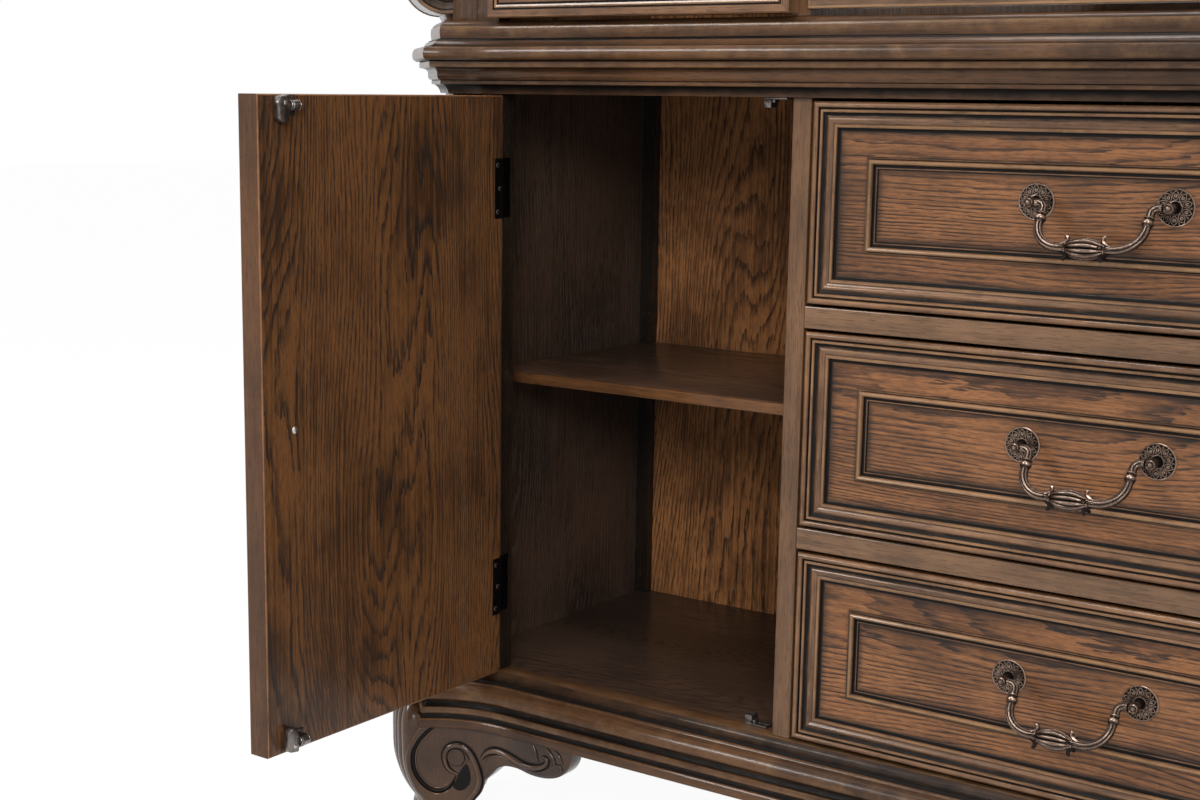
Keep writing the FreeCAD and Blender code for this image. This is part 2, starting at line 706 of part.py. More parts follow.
def bail(pivot_z):
    """Swinging handle: pins, elbows, collared arms, quarter sweeps and a swelling grip."""
    end = pull_spacing / 2 - ball_radius - bail_side_gap
    arm = pull_spacing / 2 - bail_arm_inset
    bend = arm + bail_elbow
    sweep_in = arm - bail_sweep
    sweep_top = -bail_drop + bail_sweep
    r = sqrt(0.5)
    elbow = Part.Arc(vec(-bend, 0, 0), vec(-bend + bail_elbow * r, 0, -bail_elbow * (1 - r)),
                     vec(-arm, 0, -bail_elbow))
    sweep = Part.Arc(vec(-arm, 0, sweep_top), vec(-sweep_in - bail_sweep * r, 0, sweep_top - bail_sweep * r),
                     vec(-sweep_in, 0, -bail_drop))
    path = [Part.makeLine(vec(-end, 0, 0), vec(-bend, 0, 0)), elbow.toShape(),
            Part.makeLine(vec(-arm, 0, -bail_elbow), vec(-arm, 0, sweep_top)), sweep.toShape(),
            Part.makeLine(vec(-sweep_in, 0, -bail_drop), vec(0, 0, -bail_drop))]
    section = Part.Wire(Part.makeCircle(bail_radius, vec(-end, 0, 0), vec(1, 0, 0)))
    tube = Part.Wire(path).makePipeShell([section], True, True)
    pin = cylinder(bail_pin, bail_pin_depth + bail_side_gap, vec(-end, 0, 0), vec(-1, 0, 0))
    collar = cylinder(collar_radius, collar_length, vec(-arm, 0, -collar_drop), vec(0, 0, -1))
    swell = grip_length / 3
    middle = cylinder(grip_radius, swell, vec(-swell / 2, 0, -bail_drop), vec(1, 0, 0))
    cone = Part.makeCone(grip_radius, grip_neck, swell, vec(-swell / 2, 0, -bail_drop), vec(-1, 0, 0))
    handle = fuse([middle] + pair(tube) + pair(pin) + pair(collar) + pair(cone))
    pivot = vec(0, drawer_field - pivot_standoff, pivot_z)
    handle.translate(pivot)
    handle.rotate(pivot, vec(1, 0, 0), -bail_lean)
    return handle


# ---- feet ----
def front_foot():
    """Left scroll foot with its knee in front of the apron and its block inside it."""
    front_run, back_run = [[corner_point(along, -foot_half_width, share * foot_height)
                            for along, share in run] for run in (scroll_front, scroll_back)]
    edges = [curve(front_run), Part.makeLine(front_run[-1], back_run[0]), curve(back_run),
             Part.makeLine(back_run[-1], front_run[0])]
    scroll = Part.Face(Part.Wire(edges)).extrude(across_corner(foot_half_width))
    bulge = corner_prism([(along, share * foot_height) for along, share in knee], knee_half_width)
    block = corner_prism([(foot_block_near, foot_height), (foot_block_far, foot_height),
                          (foot_block_far, z_block), (foot_block_near, z_block)], foot_block_half)
    return fuse([scroll, bulge, block])


def wings():
    """Bracket wings at the left corner, one along the front and one along the side."""
    run = [vec(-outer_half + away, front - wing_face, share * foot_height) for away, share in wing_edge]
    corner = vec(run[-1].x, run[-1].y, foot_height)
    edges = [curve(run), Part.makeLine(run[-1], corner), Part.makeLine(corner, run[0])]
    board = Part.Face(Part.Wire(edges)).extrude(vec(0, wing_board, 0))
    far = 2 * flare_radius
    beyond = prism([corner_point(-far, foot_half_width, 0), corner_point(far, foot_half_width, 0),
                    corner_point(far, -far, 0), corner_point(-far, -far, 0)], vec(0, 0, foot_height))
    front_wing = board.cut(beyond)
    side_wing = front_wing.mirror(corner_point(0, 0, 0), vec(1, -1, 0))
    return front_wing, side_wing


def feet():
    save("front_feet", *pair(front_foot()))
    front_wing, side_wing = wings()
    save("foot_wings", *(pair(front_wing) + pair(side_wing)))
    outer_x = -outer_half + moulding_backing + rear_foot_inset
    outer_y = back - rear_foot_inset
    outlines = []
    for side, z in ((rear_foot, z_block), (rear_foot - rear_foot_taper, 0)):
        corners = [vec(outer_x, outer_y, z), vec(outer_x + side, outer_y, z),
                   vec(outer_x + side, outer_y - side, z), vec(outer_x, outer_y - side, z)]
        outlines.append(Part.makePolygon(corners + corners[:1]))
    save("rear_feet", *pair(Part.makeLoft(outlines, True, True)))
    half = middle_leg / 2
    save("middle_leg", box(-half, half, -half, half, 0, z_block))


# ---- hutch ----
def hutch_case():
    save("hutch_board", moulded_board(hutch_board_profile, hutch_board, top_cant, z_top))
    save("hutch_sides", *pair(box(-outer_half, -inner_half, side_front, back, z_hutch, z_crown)))
    save("hutch_back", box(-inner_half, inner_half, inner_back, back, z_hutch, z_crown))
    save("hutch_mirror", box(-centre_half, centre_half, inner_back - mirror_glass, inner_back,
                             z_hutch, z_crown))
    rail = box(-doorway_out, doorway_out, hutch_front, hutch_front + frame_board,
               z_crown - hutch_rail, z_crown)
    divider = box(-doorway_in, -centre_half, hutch_front, inner_back, z_hutch, z_crown)
    low_rail_front, low_rail_bottom = hutch_front - hutch_low_rail_face, z_hutch + hutch_low_rail_gap
    low_rail = box(-centre_half, centre_half, low_rail_front, low_rail_front + frame_board,
                   low_rail_bottom, low_rail_bottom + hutch_low_rail)
    save("hutch_rails", rail, low_rail)
    save("hutch_dividers", *pair(divider.cut(rail)))
    save("hutch_top", inner_board(hutch_top_board, top_cant, z_crown))
    save("crown_moulding", *moulding_lengths(crown_profile, crown_height, top_cant, z_crown))

    pilaster, stile = corner_post(z_hutch, z_crown, hutch_front)
    for height in hutch_hinge_heights:
        stile = stile.cut(jamb_mortise(z_hutch, height, hutch_front))
    save("hutch_posts", *(pair(pilaster) + pair(stile)))
    save("hutch_consoles", *pair(console()))


def volute(along, z, radius):
    """Round scroll end across the corner."""
    return cylinder(radius, 2 * volute_half_width, corner_point(along, -volute_half_width, z),
                    across_corner(volute_half_width))


def console():
    """Left S-shaped console on the canted post: board, two stems and two scroll ends."""
    clear = corner_prism([(post_reach, z_hutch), (post_reach, z_crown), (flare_radius, z_crown),
                          (flare_radius, z_hutch)], volute_half_width)
    board_front = post_reach + console_board
    slab = corner_prism([(post_reach, z_hutch), (board_front, z_hutch), (board_front, z_crown),
                         (post_reach, z_crown)], console_half_width)
    lower = corner_prism([(along, z_hutch + rise) for along, rise in lower_stem], console_half_width)
    upper = corner_prism([(along, z_crown + drop) for along, drop in upper_stem], console_half_width)
    whole = fuse([slab, lower, upper, volute(volute_along, z_hutch + volute_height, volute_radius),
                  volute(volute_along, z_crown - upper_volute_drop, upper_volute_radius)])
    return whole.common(clear)


def build():
    os.makedirs("parts", exist_ok=True)
    base_case()
    base_posts()
    drawer_case()
    for number in range(1, drawer_count + 1):
        drawer(number)
    feet()
    shelves()
    cleats()
    hutch_case()
    leaves = []
    for leaf in base_doors() + hutch_doors():
        leaves += pair(leaf)
    save("hinge_frame_leaves", *leaves)


build()
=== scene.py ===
import math

import bmesh
import bpy
from mathutils import Matrix, Vector


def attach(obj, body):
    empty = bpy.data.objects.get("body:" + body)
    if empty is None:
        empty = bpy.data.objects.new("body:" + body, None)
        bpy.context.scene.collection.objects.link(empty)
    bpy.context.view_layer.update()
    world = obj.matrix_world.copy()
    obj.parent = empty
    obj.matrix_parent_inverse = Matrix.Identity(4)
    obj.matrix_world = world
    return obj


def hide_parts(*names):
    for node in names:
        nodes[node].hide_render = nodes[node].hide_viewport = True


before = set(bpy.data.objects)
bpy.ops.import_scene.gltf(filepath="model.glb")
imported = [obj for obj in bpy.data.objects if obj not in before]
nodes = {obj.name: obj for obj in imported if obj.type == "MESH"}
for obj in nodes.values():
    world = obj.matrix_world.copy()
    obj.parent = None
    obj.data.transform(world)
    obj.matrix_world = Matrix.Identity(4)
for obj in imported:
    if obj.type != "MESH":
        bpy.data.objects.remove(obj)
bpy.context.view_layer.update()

bpy.context.scene.view_settings.view_transform = "Standard"


# ---- camera ----
# The viewpoint stands to the right of the dresser at hip height, turned left and a
# little down, on a lens a bit longer than normal.
turn, tilt, roll = math.radians(36.142), math.radians(10.487), math.radians(0.621)
forward = Vector((-math.sin(turn) * math.cos(tilt), math.cos(turn) * math.cos(tilt), -math.sin(tilt)))
level = Vector((math.cos(turn), math.sin(turn), 0))
above = level.cross(forward)
right = level * math.cos(roll) + above * math.sin(roll)
up = above * math.cos(roll) - level * math.sin(roll)
camera = bpy.data.objects.new("camera", bpy.data.cameras.new("camera"))
bpy.context.collection.objects.link(camera)
camera.matrix_world = Matrix.Translation((0.55299, -1.73236, 0.80579)) @ Matrix(
    (right, up, -forward)).transposed().to_4x4()
camera.data.sensor_fit = "HORIZONTAL"
camera.data.sensor_width = 36
camera.data.lens = 1853.03 / 1200 * 36
camera.data.shift_x = (600 - 551.65) / 1200
camera.data.shift_y = (433.66 - 400) / 1200
camera.data.clip_start = 0.05
bpy.context.scene.camera = camera


# ---- case boards ----
# Oak-veneered boards, screwed and glued into a carcase, stained brown outside and nearly
# black inside the cupboards, then lacquered satin. Their edges are eased with fine paper.
mm = 0.001
X, Y, Z = 0, 1, 2
# All in mm: faces and front edge of the side boards, front and back of the case, faces of the
# dividers, the levels between which the base and the hutch stand, and the three drawers.
side_out, side_in, side_front = 723.7, 706.3, -135.4
case_front, case_back = -192, 192
bay_out, bay_in, boards_back = 298.7, 279.5, 186
case_low, case_high, hutch_low, hutch_high = 182, 802, 875, 2022
drawer_high, rail_high, drawer_gap = 186.867, 20.7, 3
drawer_lows = [case_low + drawer_gap + i * (drawer_high + rail_high + 2 * drawer_gap) for i in range(3)]


class Value:
    """A socket of a finish; arithmetic on it adds Math nodes."""

    def __init__(self, finish, socket):
        self.finish = finish
        self.socket = socket

    def math(self, operation, *others):
        return self.finish.node("ShaderNodeMath", {"operation": operation},
                                dict(enumerate((self, *others))))

    def __add__(self, other):
        return self.math("ADD", other)

    def __radd__(self, other):
        return self.math("ADD", other)

    def __sub__(self, other):
        return self.math("SUBTRACT", other)

    def __rsub__(self, other):
        return self.finish.node("ShaderNodeMath", {"operation": "SUBTRACT"}, {0: other, 1: self})

    def __mul__(self, other):
        return self.math("MULTIPLY", other)

    def __rmul__(self, other):
        return self.math("MULTIPLY", other)


class Finish:
    """A material made of nodes round one Principled shader."""

    def __init__(self, name, **sockets):
        self.material = bpy.data.materials.new(name)
        self.material.use_nodes = True
        self.tree = self.material.node_tree
        self.shader = self.tree.nodes["Principled BSDF"]
        self.set(**sockets)

    def node(self, kind, settings=None, inputs=None, output=0):
        """Adds a node: its settings first, then the values or links of its sockets."""
        made = self.tree.nodes.new(kind)
        for key, value in (settings or {}).items():
            setattr(made, key, value)
        for key, value in (inputs or {}).items():
            self.feed(made.inputs[key], value)
        return Value(self, made.outputs[output])

    def feed(self, socket, value):
        if isinstance(value, Value):
            self.tree.links.new(value.socket, socket)
        else:
            socket.default_value = value

    def set(self, **sockets):
        for key, value in sockets.items():
            self.feed(self.shader.inputs[key.replace("_", " ")], value)

    def mix(self, share, first, second):
        colours = [c if isinstance(c, Value) else (*c, 1) for c in (first, second)]
        return self.node("ShaderNodeMix", {"data_type": "RGBA"},
                         {0: share, 6: colours[0], 7: colours[1]}, 2)

    def rise(self, value, low, high):
        """0 up to low, 1 from high on, smooth between."""
        return self.node("ShaderNodeMapRange", {"interpolation_type": "SMOOTHSTEP"},
                         {0: value, 1: low, 2: high, 3: 0.0, 4: 1.0})

    def noise(self, scale, detail=2.0, rough=0.5, place=None):
        """Noise with its own scale per metre along each axis."""
        place = place or self.node("ShaderNodeTexCoord", output="Object")
        scaled = self.node("ShaderNodeVectorMath", {"operation": "MULTIPLY"}, {0: place, 1: scale})
        return self.node("ShaderNodeTexNoise", {}, {"Vector": scaled, "Scale": 1.0,
                                                    "Detail": detail, "Roughness": rough})

    def mark(self, name, output="Fac"):
        """What was marked on the piece's points."""
        return self.node("ShaderNodeAttribute", {"attribute_name": name}, output=output)

    def bump(self, height, depth):
        return self.node("ShaderNodeBump", {}, {"Height": height, "Distance": depth, "Strength": 1.0})


def stretched(grain, across, along):
    """Scale of a pattern drawn out along the grain."""
    scale = [across, across, across]
    scale[grain] = along
    return scale


# Black for the wood's grooves and recesses: partly real glaze, partly painted shade where light does not
# reach.
GLAZE_AND_SHADE_BLACK = (0.004, 0.003, 0.0025)


def oak(name, grain, light, brown, line, rings=75.0, shift=0.0, gloss=0.36, coat=0.3, open_pores=1.0,
        clouds=1.0, length=0.8, straight=60.0, strokes=26.0):
    """Plain-sawn oak: cathedral rings of fine dark pores, cloudy stain, painted shade and glaze near
    mouldings.
    """
    wood = Finish(name, Specular_IOR_Level=0.14, Coat_Weight=coat, Coat_Roughness=0.2)

    def fibre(across, along, detail=2.0, rough=0.5):
        return wood.noise(stretched(grain, across, along), detail, rough)

    place = wood.node("ShaderNodeTexCoord", output="Object")
    log = wood.node("ShaderNodeVectorMath", {"operation": "ADD"}, {0: place, 1: (shift, shift, shift)})
    swell = wood.noise(stretched(grain, 5.5, length), 1.3, 0.4, log)
    waver = fibre(75.0, 9.0 * length, 3.0, 0.65)
    across = wood.node("ShaderNodeVectorMath", {"operation": "DOT_PRODUCT"},
                       {0: place, 1: [axis != grain for axis in (X, Y, Z)]}, 1)
    ring = (across * straight + swell * rings + waver * 1.7).math("FRACT")
    band = (1 - wood.rise(ring, 0.1, 0.55)) * wood.rise(ring, 0.0, 0.05)
    broken = wood.rise(fibre(380.0, strokes, 3.0, 0.65), 0.4, 0.52)
    pores = wood.rise(fibre(620.0, 85.0, 2.0, 0.6), 0.38, 0.56)
    cloud = wood.noise((5.5, 5.5, 5.5), 4.0, 0.6)
    filled = wood.rise(wood.noise((12.0, 12.0, 12.0), 2.0), 0.3, 0.62) * 0.4 + 0.6
    dark = (band * broken * (pores * 0.5 + 0.5) * filled + (1 - pores) * 0.34).math("MINIMUM", 1.0)
    dark = dark * open_pores
    fine = fibre(300.0, 6.0, 4.0, 0.7)
    tone = wood.rise((cloud - 0.5) * 2.6 * clouds + (fine - 0.5) * 2.2 + band * 0.2 + 0.42, 0.0, 1.0)
    colour = wood.mix(tone, light, brown)
    colour = wood.mix(dark, colour, line)
    # Painted shade: points marked below 0, on the field next to the mouldings, are mixed to black (partly
    # glaze too).
    glaze_and_shade = wood.mark("tone") * -1.0 + (cloud - 0.5) * 0.5
    glaze_and_shade = wood.rise(glaze_and_shade, 0.1, 1.1)
    colour = wood.mix(glaze_and_shade, colour, GLAZE_AND_SHADE_BLACK)
    wood.set(Base_Color=colour, Roughness=(fine - 0.5) * 0.12 + dark * 0.25 + gloss,
             Normal=wood.bump(dark * -1.0 + band * -0.25, 0.0003))
    return wood.material


def stained(name, grain, light, brown, rub=(0.34, 0.19, 0.085), gloss=0.27, coat=0.45, streaks=1.0):
    """Smooth stained wood, black in its grooves from glaze and painted shade, its edges rubbed a little
    lighter.
    """
    wood = Finish(name, Specular_IOR_Level=0.15, Coat_Roughness=0.13)
    place = wood.mark("grain", "Vector") if grain is None else None
    axis = X if grain is None else grain

    def fibre(across, along, detail=2.0, rough=0.5):
        return wood.noise(stretched(axis, across, along), detail, rough, place)

    streak = fibre(75.0, 2.2, 3.0, 0.6)
    fine = fibre(480.0, 13.0, 3.0, 0.65)
    cloud = wood.noise((8.0, 8.0, 8.0), 4.0, 0.65)
    pore = wood.rise(fibre(1100.0, 60.0, 1.0), 0.6, 0.68)
    mottle = (streak - 0.5) * 1.4 * streaks + (fine - 0.5) * 1.1 * streaks + (cloud - 0.5) * 1.8
    tone = wood.rise(mottle + 0.5, 0.0, 1.0)
    colour = wood.mix(tone, light, brown)
    colour = wood.mix(pore * 0.5 * streaks, colour, [c * 0.3 for c in brown])
    patchy = wood.noise((38.0, 38.0, 38.0), 4.0, 0.7) - 0.5
    marked_tone = wood.mark("tone")
    colour = wood.mix(wood.rise(marked_tone + patchy * 1.8, 0.15, 1.25) * 0.6, colour, rub)
    # Painted shade: points marked below 0, in grooves and coves, turn black and lose their coat; partly
    # glaze.
    groove = wood.rise(marked_tone * -1.0 + patchy * 0.5, 0.1, 0.7)
    colour = wood.mix(groove, colour, GLAZE_AND_SHADE_BLACK)
    wood.set(Base_Color=colour, Roughness=(fine - 0.5) * 0.16 + groove * 0.2 + gloss,
             Coat_Weight=(1 - groove) * coat, Normal=wood.bump(fine * 0.4 - pore, 0.00015))
    return wood.material


def dress(names, material):
    """Gives carried-over solids their finish."""
    for name in names:
        nodes[name].data.materials.clear()
        nodes[name].data.materials.append(material)


def select_none():
    bpy.ops.object.select_all(action="DESELECT")


def select_only(piece):
    select_none()
    piece.select_set(True)
    bpy.context.view_layer.objects.active = piece


def start_shaping(piece):
    """Into edit mode, with the whole piece selected."""
    bpy.context.view_layer.objects.active = piece
    bpy.ops.object.mode_set(mode="EDIT")
    bpy.ops.mesh.select_all(action="SELECT")


def end_shaping():
    bpy.ops.object.mode_set(mode="OBJECT")


def face_outwards():
    bpy.ops.mesh.select_all(action="SELECT")
    bpy.ops.mesh.normals_make_consistent(inside=False)


def place_in_mesh():
    bpy.ops.object.transform_apply(location=True, rotation=True, scale=True)


def block(name, low, high, ease=0.8):
    """A sawn board between two corners, its edges eased."""
    low, high = Vector(low) * mm, Vector(high) * mm
    select_none()
    bpy.ops.mesh.primitive_cube_add(size=1, location=(low + high) / 2, scale=high - low)
    piece = bpy.context.object
    piece.name = name
    place_in_mesh()
    start_shaping(piece)
    bpy.ops.mesh.bevel(offset=ease * mm, segments=2)
    end_shaping()
    return piece


def joined(name, pieces):
    """Several blocks as one piece."""
    select_none()
    for piece in pieces:
        piece.select_set(True)
    bpy.context.view_layer.objects.active = pieces[0]
    if len(pieces) > 1:
        bpy.ops.object.join()
    pieces[0].name = name
    return pieces[0]


def twin(piece, name):
    """A copy on the other side of the middle, with its own mesh."""
    copy = piece.copy()
    copy.data = piece.data.copy()
    copy.name = name
    bpy.context.collection.objects.link(copy)
    copy.scale.x = -1
    select_only(copy)
    place_in_mesh()
    start_shaping(copy)
    face_outwards()
    end_shaping()
    return copy


def both_sides(name, pieces):
    """Pieces and their mirror images, as one."""
    return joined(name, pieces + [twin(piece, piece.name + "_twin") for piece in pieces])


def fit(piece, materials=(), stands_for=(), body="case", smooth=None, which=None):
    """Last steps of a piece: shading, finish, body and the solids it stands for."""
    select_only(piece)
    if smooth:
        bpy.ops.object.shade_smooth_by_angle(angle=math.radians(smooth))
    for material in materials:
        piece.data.materials.append(material)
    if which:
        for face in piece.data.polygons:
            face.material_index = int(which(face))
    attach(piece, body)
    if stands_for:
        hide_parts(*stands_for)
    return piece


side_oak = oak("cupboard side oak", Z, (0.072, 0.039, 0.024), (0.02, 0.012, 0.008),
               (0.105, 0.077, 0.062), shift=0.31, gloss=0.4, length=0.9,
               rings=45, straight=150, strokes=60, open_pores=0.75)
back_oak = oak("cupboard back oak", Z, (0.47, 0.2, 0.072), (0.155, 0.066, 0.026), (0.04, 0.021, 0.013),
               shift=0.77, clouds=1.3, length=1.0, coat=0.4, rings=50, straight=150, strokes=60)
deck_oak = oak("dark floor oak", X, (0.075, 0.043, 0.028), (0.032, 0.019, 0.0135),
               (0.014, 0.01, 0.008), shift=0.2, gloss=0.3, coat=0.4, open_pores=0.6)
outer_oak = oak("outer side oak", Z, (0.2, 0.092, 0.04), (0.085, 0.038, 0.018),
                (0.018, 0.011, 0.008), shift=0.5, length=1.1, straight=130)
rear_oak = oak("rear oak", Z, (0.15, 0.078, 0.042), (0.095, 0.05, 0.028), (0.035, 0.022, 0.015), shift=0.6,
               gloss=0.5, coat=0.05, clouds=0.35, length=1.1, straight=110)
dress(("base_floor", "base_ceiling", "hutch_top", "drawer_1_box", "drawer_2_box", "drawer_3_box",
       "drawer_runners"), deck_oak)
for name in ("base_back", "hutch_back"):
    ends = [nodes[name].matrix_world @ Vector(end) / mm for end in nodes[name].bound_box]
    low, high = [[least_or_most(along) for along in zip(*ends)] for least_or_most in (min, max)]
    panel = block(name + "_dressed", low, high, 0.3)
    fit(panel, (back_oak, rear_oak), (name,), which=lambda face: face.normal.y > 0.5)
shadow_wood = stained("shaded wood", Z, (0.022, 0.014, 0.009), (0.01, 0.007, 0.005))
dress(("corner_cleats",), shadow_wood)

for name, low, high, inside in (("base_sides", case_low - 1.5, case_high + 1, side_oak),
                                ("hutch_sides", hutch_low, hutch_high, outer_oak)):
    board = block(name + "_left", (-side_out, side_front, low), (-side_in, case_back, high), 0.4)
    fit(both_sides(name + "_dressed", [board]), (outer_oak, inside), (name,),
        which=lambda face: face.normal.x * face.center.x < 0)

divider_wood = stained("divider wood", Z, (0.165, 0.082, 0.038), (0.08, 0.04, 0.019))
rail_wood = stained("rail wood", X, (0.2, 0.106, 0.054), (0.085, 0.045, 0.023))
divider = block("divider", (-bay_out, case_front, case_low), (-bay_in, boards_back, case_high), 1.0)
fit(both_sides("base_dividers_dressed", [divider]), (divider_wood, side_oak),
    ("base_dividers",), which=lambda face: face.normal.x * face.center.x > 0.1 and face.area > 0.01)
rails = []
for low in drawer_lows[:2]:
    under = low + drawer_high + drawer_gap
    rails.append(block("rail", (-bay_in, case_front, under), (bay_in, case_front + 60, under + rail_high),
                       1.0))
fit(joined("drawer_rails_dressed", rails), (rail_wood,), ("drawer_rails",))


# ---- canted corner posts ----
# A pilaster stands across each front corner with a stile beside it, solid wood stained as the
# mouldings. A sunk panel is worked in the canted face.
post_wood = stained("post wood", Z, (0.15, 0.076, 0.037), (0.055, 0.027, 0.014))
half_case, face_y, back_y = side_out * mm, case_front * mm, case_back * mm
stile_out, stile_in, frame_thick = 667.13, 638.7, 20


def corner(along, across, z):
    """Left corner in mm: outwards along the diagonal, and across it towards the front."""
    return Vector((-side_out - (along - across) / math.sqrt(2),
                   case_front - (along + across) / math.sqrt(2), z)) * mm


def pick(piece, mode, test):
    """Selects, in edit mode, the faces or edges or points that pass a test."""
    bpy.context.view_layer.objects.active = piece
    bpy.ops.object.mode_set(mode="EDIT")
    bpy.ops.mesh.select_mode(type=mode)
    bpy.ops.mesh.select_all(action="DESELECT")
    mesh = bmesh.from_edit_mesh(piece.data)
    for item in {"FACE": mesh.faces, "EDGE": mesh.edges, "VERT": mesh.verts}[mode]:
        if test(item):
            item.select_set(True)
    mesh.select_flush_mode()
    bmesh.update_edit_mesh(piece.data)


def mark(piece, tone):
    """Marks the selected points: below 0 they go black, on wood partly glaze and partly painted shade, on
    metal patina; above 0 the stain rubs off.
    """
    mesh = bmesh.from_edit_mesh(piece.data)
    layer = mesh.verts.layers.float.get("tone") or mesh.verts.layers.float.new("tone")
    for point in mesh.verts:
        if point.select:
            point[layer] = tone
    bmesh.update_edit_mesh(piece.data)


def mark_all(piece, tone):
    pick(piece, "VERT", lambda point: True)
    mark(piece, tone)


def line(name, points, tones=None):
    """A line of edges, drawn out point by point."""
    select_none()
    bpy.ops.mesh.primitive_plane_add(size=mm, location=points[0])
    piece = bpy.context.object
    piece.name = name
    piece.data.attributes.new("tone", "FLOAT", "POINT")
    piece.data.attributes.new("grain", "FLOAT_VECTOR", "POINT")
    place_in_mesh()
    start_shaping(piece)
    bpy.ops.mesh.select_mode(type="VERT")
    bpy.ops.mesh.merge(type="CENTER")
    across = 0
    tones = tones or [0] * len(points)
    mark(piece, tones[0])
    for last, point, tone in zip(points, points[1:], tones[1:]):
        across += (point - last).length
        bpy.ops.mesh.extrude_region_move(TRANSFORM_OT_translate={"value": point - last})
        mark(piece, tone)
        mesh = bmesh.from_edit_mesh(piece.data)
        run = mesh.verts.layers.float_vector["grain"]
        for vertex in mesh.verts:
            if vertex.select:
                vertex[run] = (0, across, 0)
        bmesh.update_edit_mesh(piece.data)
    return piece


def slab(name, points, push, ease=1.0, steps=2):
    """A flat shape through points in one plane, pushed to a thickness, its edges eased."""
    piece = line(name, points)
    bpy.ops.mesh.select_all(action="SELECT")
    bpy.ops.mesh.edge_face_add()
    bpy.ops.mesh.extrude_region_move(TRANSFORM_OT_translate={"value": push})
    face_outwards()
    if ease:
        bpy.ops.mesh.select_mode(type="EDGE")
        bpy.ops.mesh.select_all(action="DESELECT")
        bpy.ops.mesh.edges_select_sharp(sharpness=math.radians(30))
        bpy.ops.mesh.bevel(offset=ease * mm, segments=steps)
    end_shaping()
    return piece


def post(name, low, high, frame_front):
    """The pilasters with their sunk panels, and the stiles beside them."""
    frame_back = frame_front + frame_thick
    plan = [Vector((-stile_out, frame_front, low)) * mm, corner(-10, 40, low), corner(-10, -40, low)]
    plan += [Vector((x, y, low)) * mm for x, y in (
        (-side_out, side_front), (-side_in, side_front), (-side_in, frame_back), (-stile_out, frame_back))]
    pilaster = slab(name, plan, Vector((0, 0, (high - low) * mm)), 0.8)
    outwards = Vector((-1, -1, 0)).normalized()
    pick(pilaster, "FACE", lambda f: f.normal.dot(outwards) > 0.99 and f.calc_area() > 0.01)
    bpy.ops.mesh.inset(thickness=10 * mm, depth=0)
    # The sunk step of the panel is marked black: painted shade in the recess.
    for inwards, deep, tone in ((0.5, 1.6, 0.9), (2.2, 0, 0.5), (0.5, -4.6, -1), (2.4, 0, -1),
                                (0.8, 1.8, 0.6), (4, 0.6, 0), (2, -0.8, -0.3)):
        bpy.ops.mesh.inset(thickness=inwards * mm, depth=deep * mm)
        mark(pilaster, tone)
    end_shaping()
    stile = block(name + "_stile", (-stile_out, frame_front, low), (-stile_in, frame_back, high), 0.8)
    return both_sides(name, [pilaster, stile])


fit(post("base_posts", case_low, case_high, case_front), (post_wood, shadow_wood),
    ("corner_posts",), smooth=30,
    which=lambda face: face.normal.x * face.center.x < -0.3 or face.normal.y > 0.5)


# ---- mouldings of the base ----
# Shaped lengths of solid wood run round the front and the sides, swept out in a flare to each
# canted corner and mitred there; stained, black in the grooves (glaze and painted shade), rubbed on the
# edges.
flare_radius, flare_start = 153 * mm, 108.6 * mm
flare_centre = Vector((-half_case + flare_start, face_y - flare_radius))


def bow(start, end, sag):
    """Points of a rounded stretch after start: (height, out, tone), bulging by sag."""
    steps = 5
    (h0, o0, t0), (h1, o1, t1) = start, end
    rise, run = h1 - h0, o1 - o0
    length = math.hypot(rise, run)
    for step in range(1, steps + 1):
        share = step / steps
        bulge = 4 * sag * share * (1 - share)
        yield (h0 + rise * share - run / length * bulge, o0 + run * share + rise / length * bulge,
               t0 + (t1 - t0) * share)


def section(*stretches):
    """A moulding's section: plain points, and (height, out, tone, sag) for rounded stretches."""
    points = [stretches[0]]
    for stretch in stretches[1:]:
        if len(stretch) == 4:
            points.extend(bow(points[-1], stretch[:3], stretch[3]))
        else:
            points.append(stretch)
    return points


def draw_on(piece, move):
    """Draws the selected section on, each of its points by its own rule."""
    bpy.ops.mesh.extrude_region_move(TRANSFORM_OT_translate={"value": (0, 0, 0)})
    mesh = bmesh.from_edit_mesh(piece.data)
    run = mesh.verts.layers.float_vector["grain"]
    picked = [v for v in mesh.verts if v.select]
    places = [move(v.co) for v in picked]
    length = sum((new - v.co).length for v, new in zip(picked, places)) / len(picked)
    for v, new in zip(picked, places):
        v.co = new
        v[run] += Vector((length, 0, 0))
    bmesh.update_edit_mesh(piece.data)


def across_corner(co):
    """The left corner's front and side change places."""
    return Vector((-half_case + co.y - face_y, face_y + co.x + half_case, co.z))


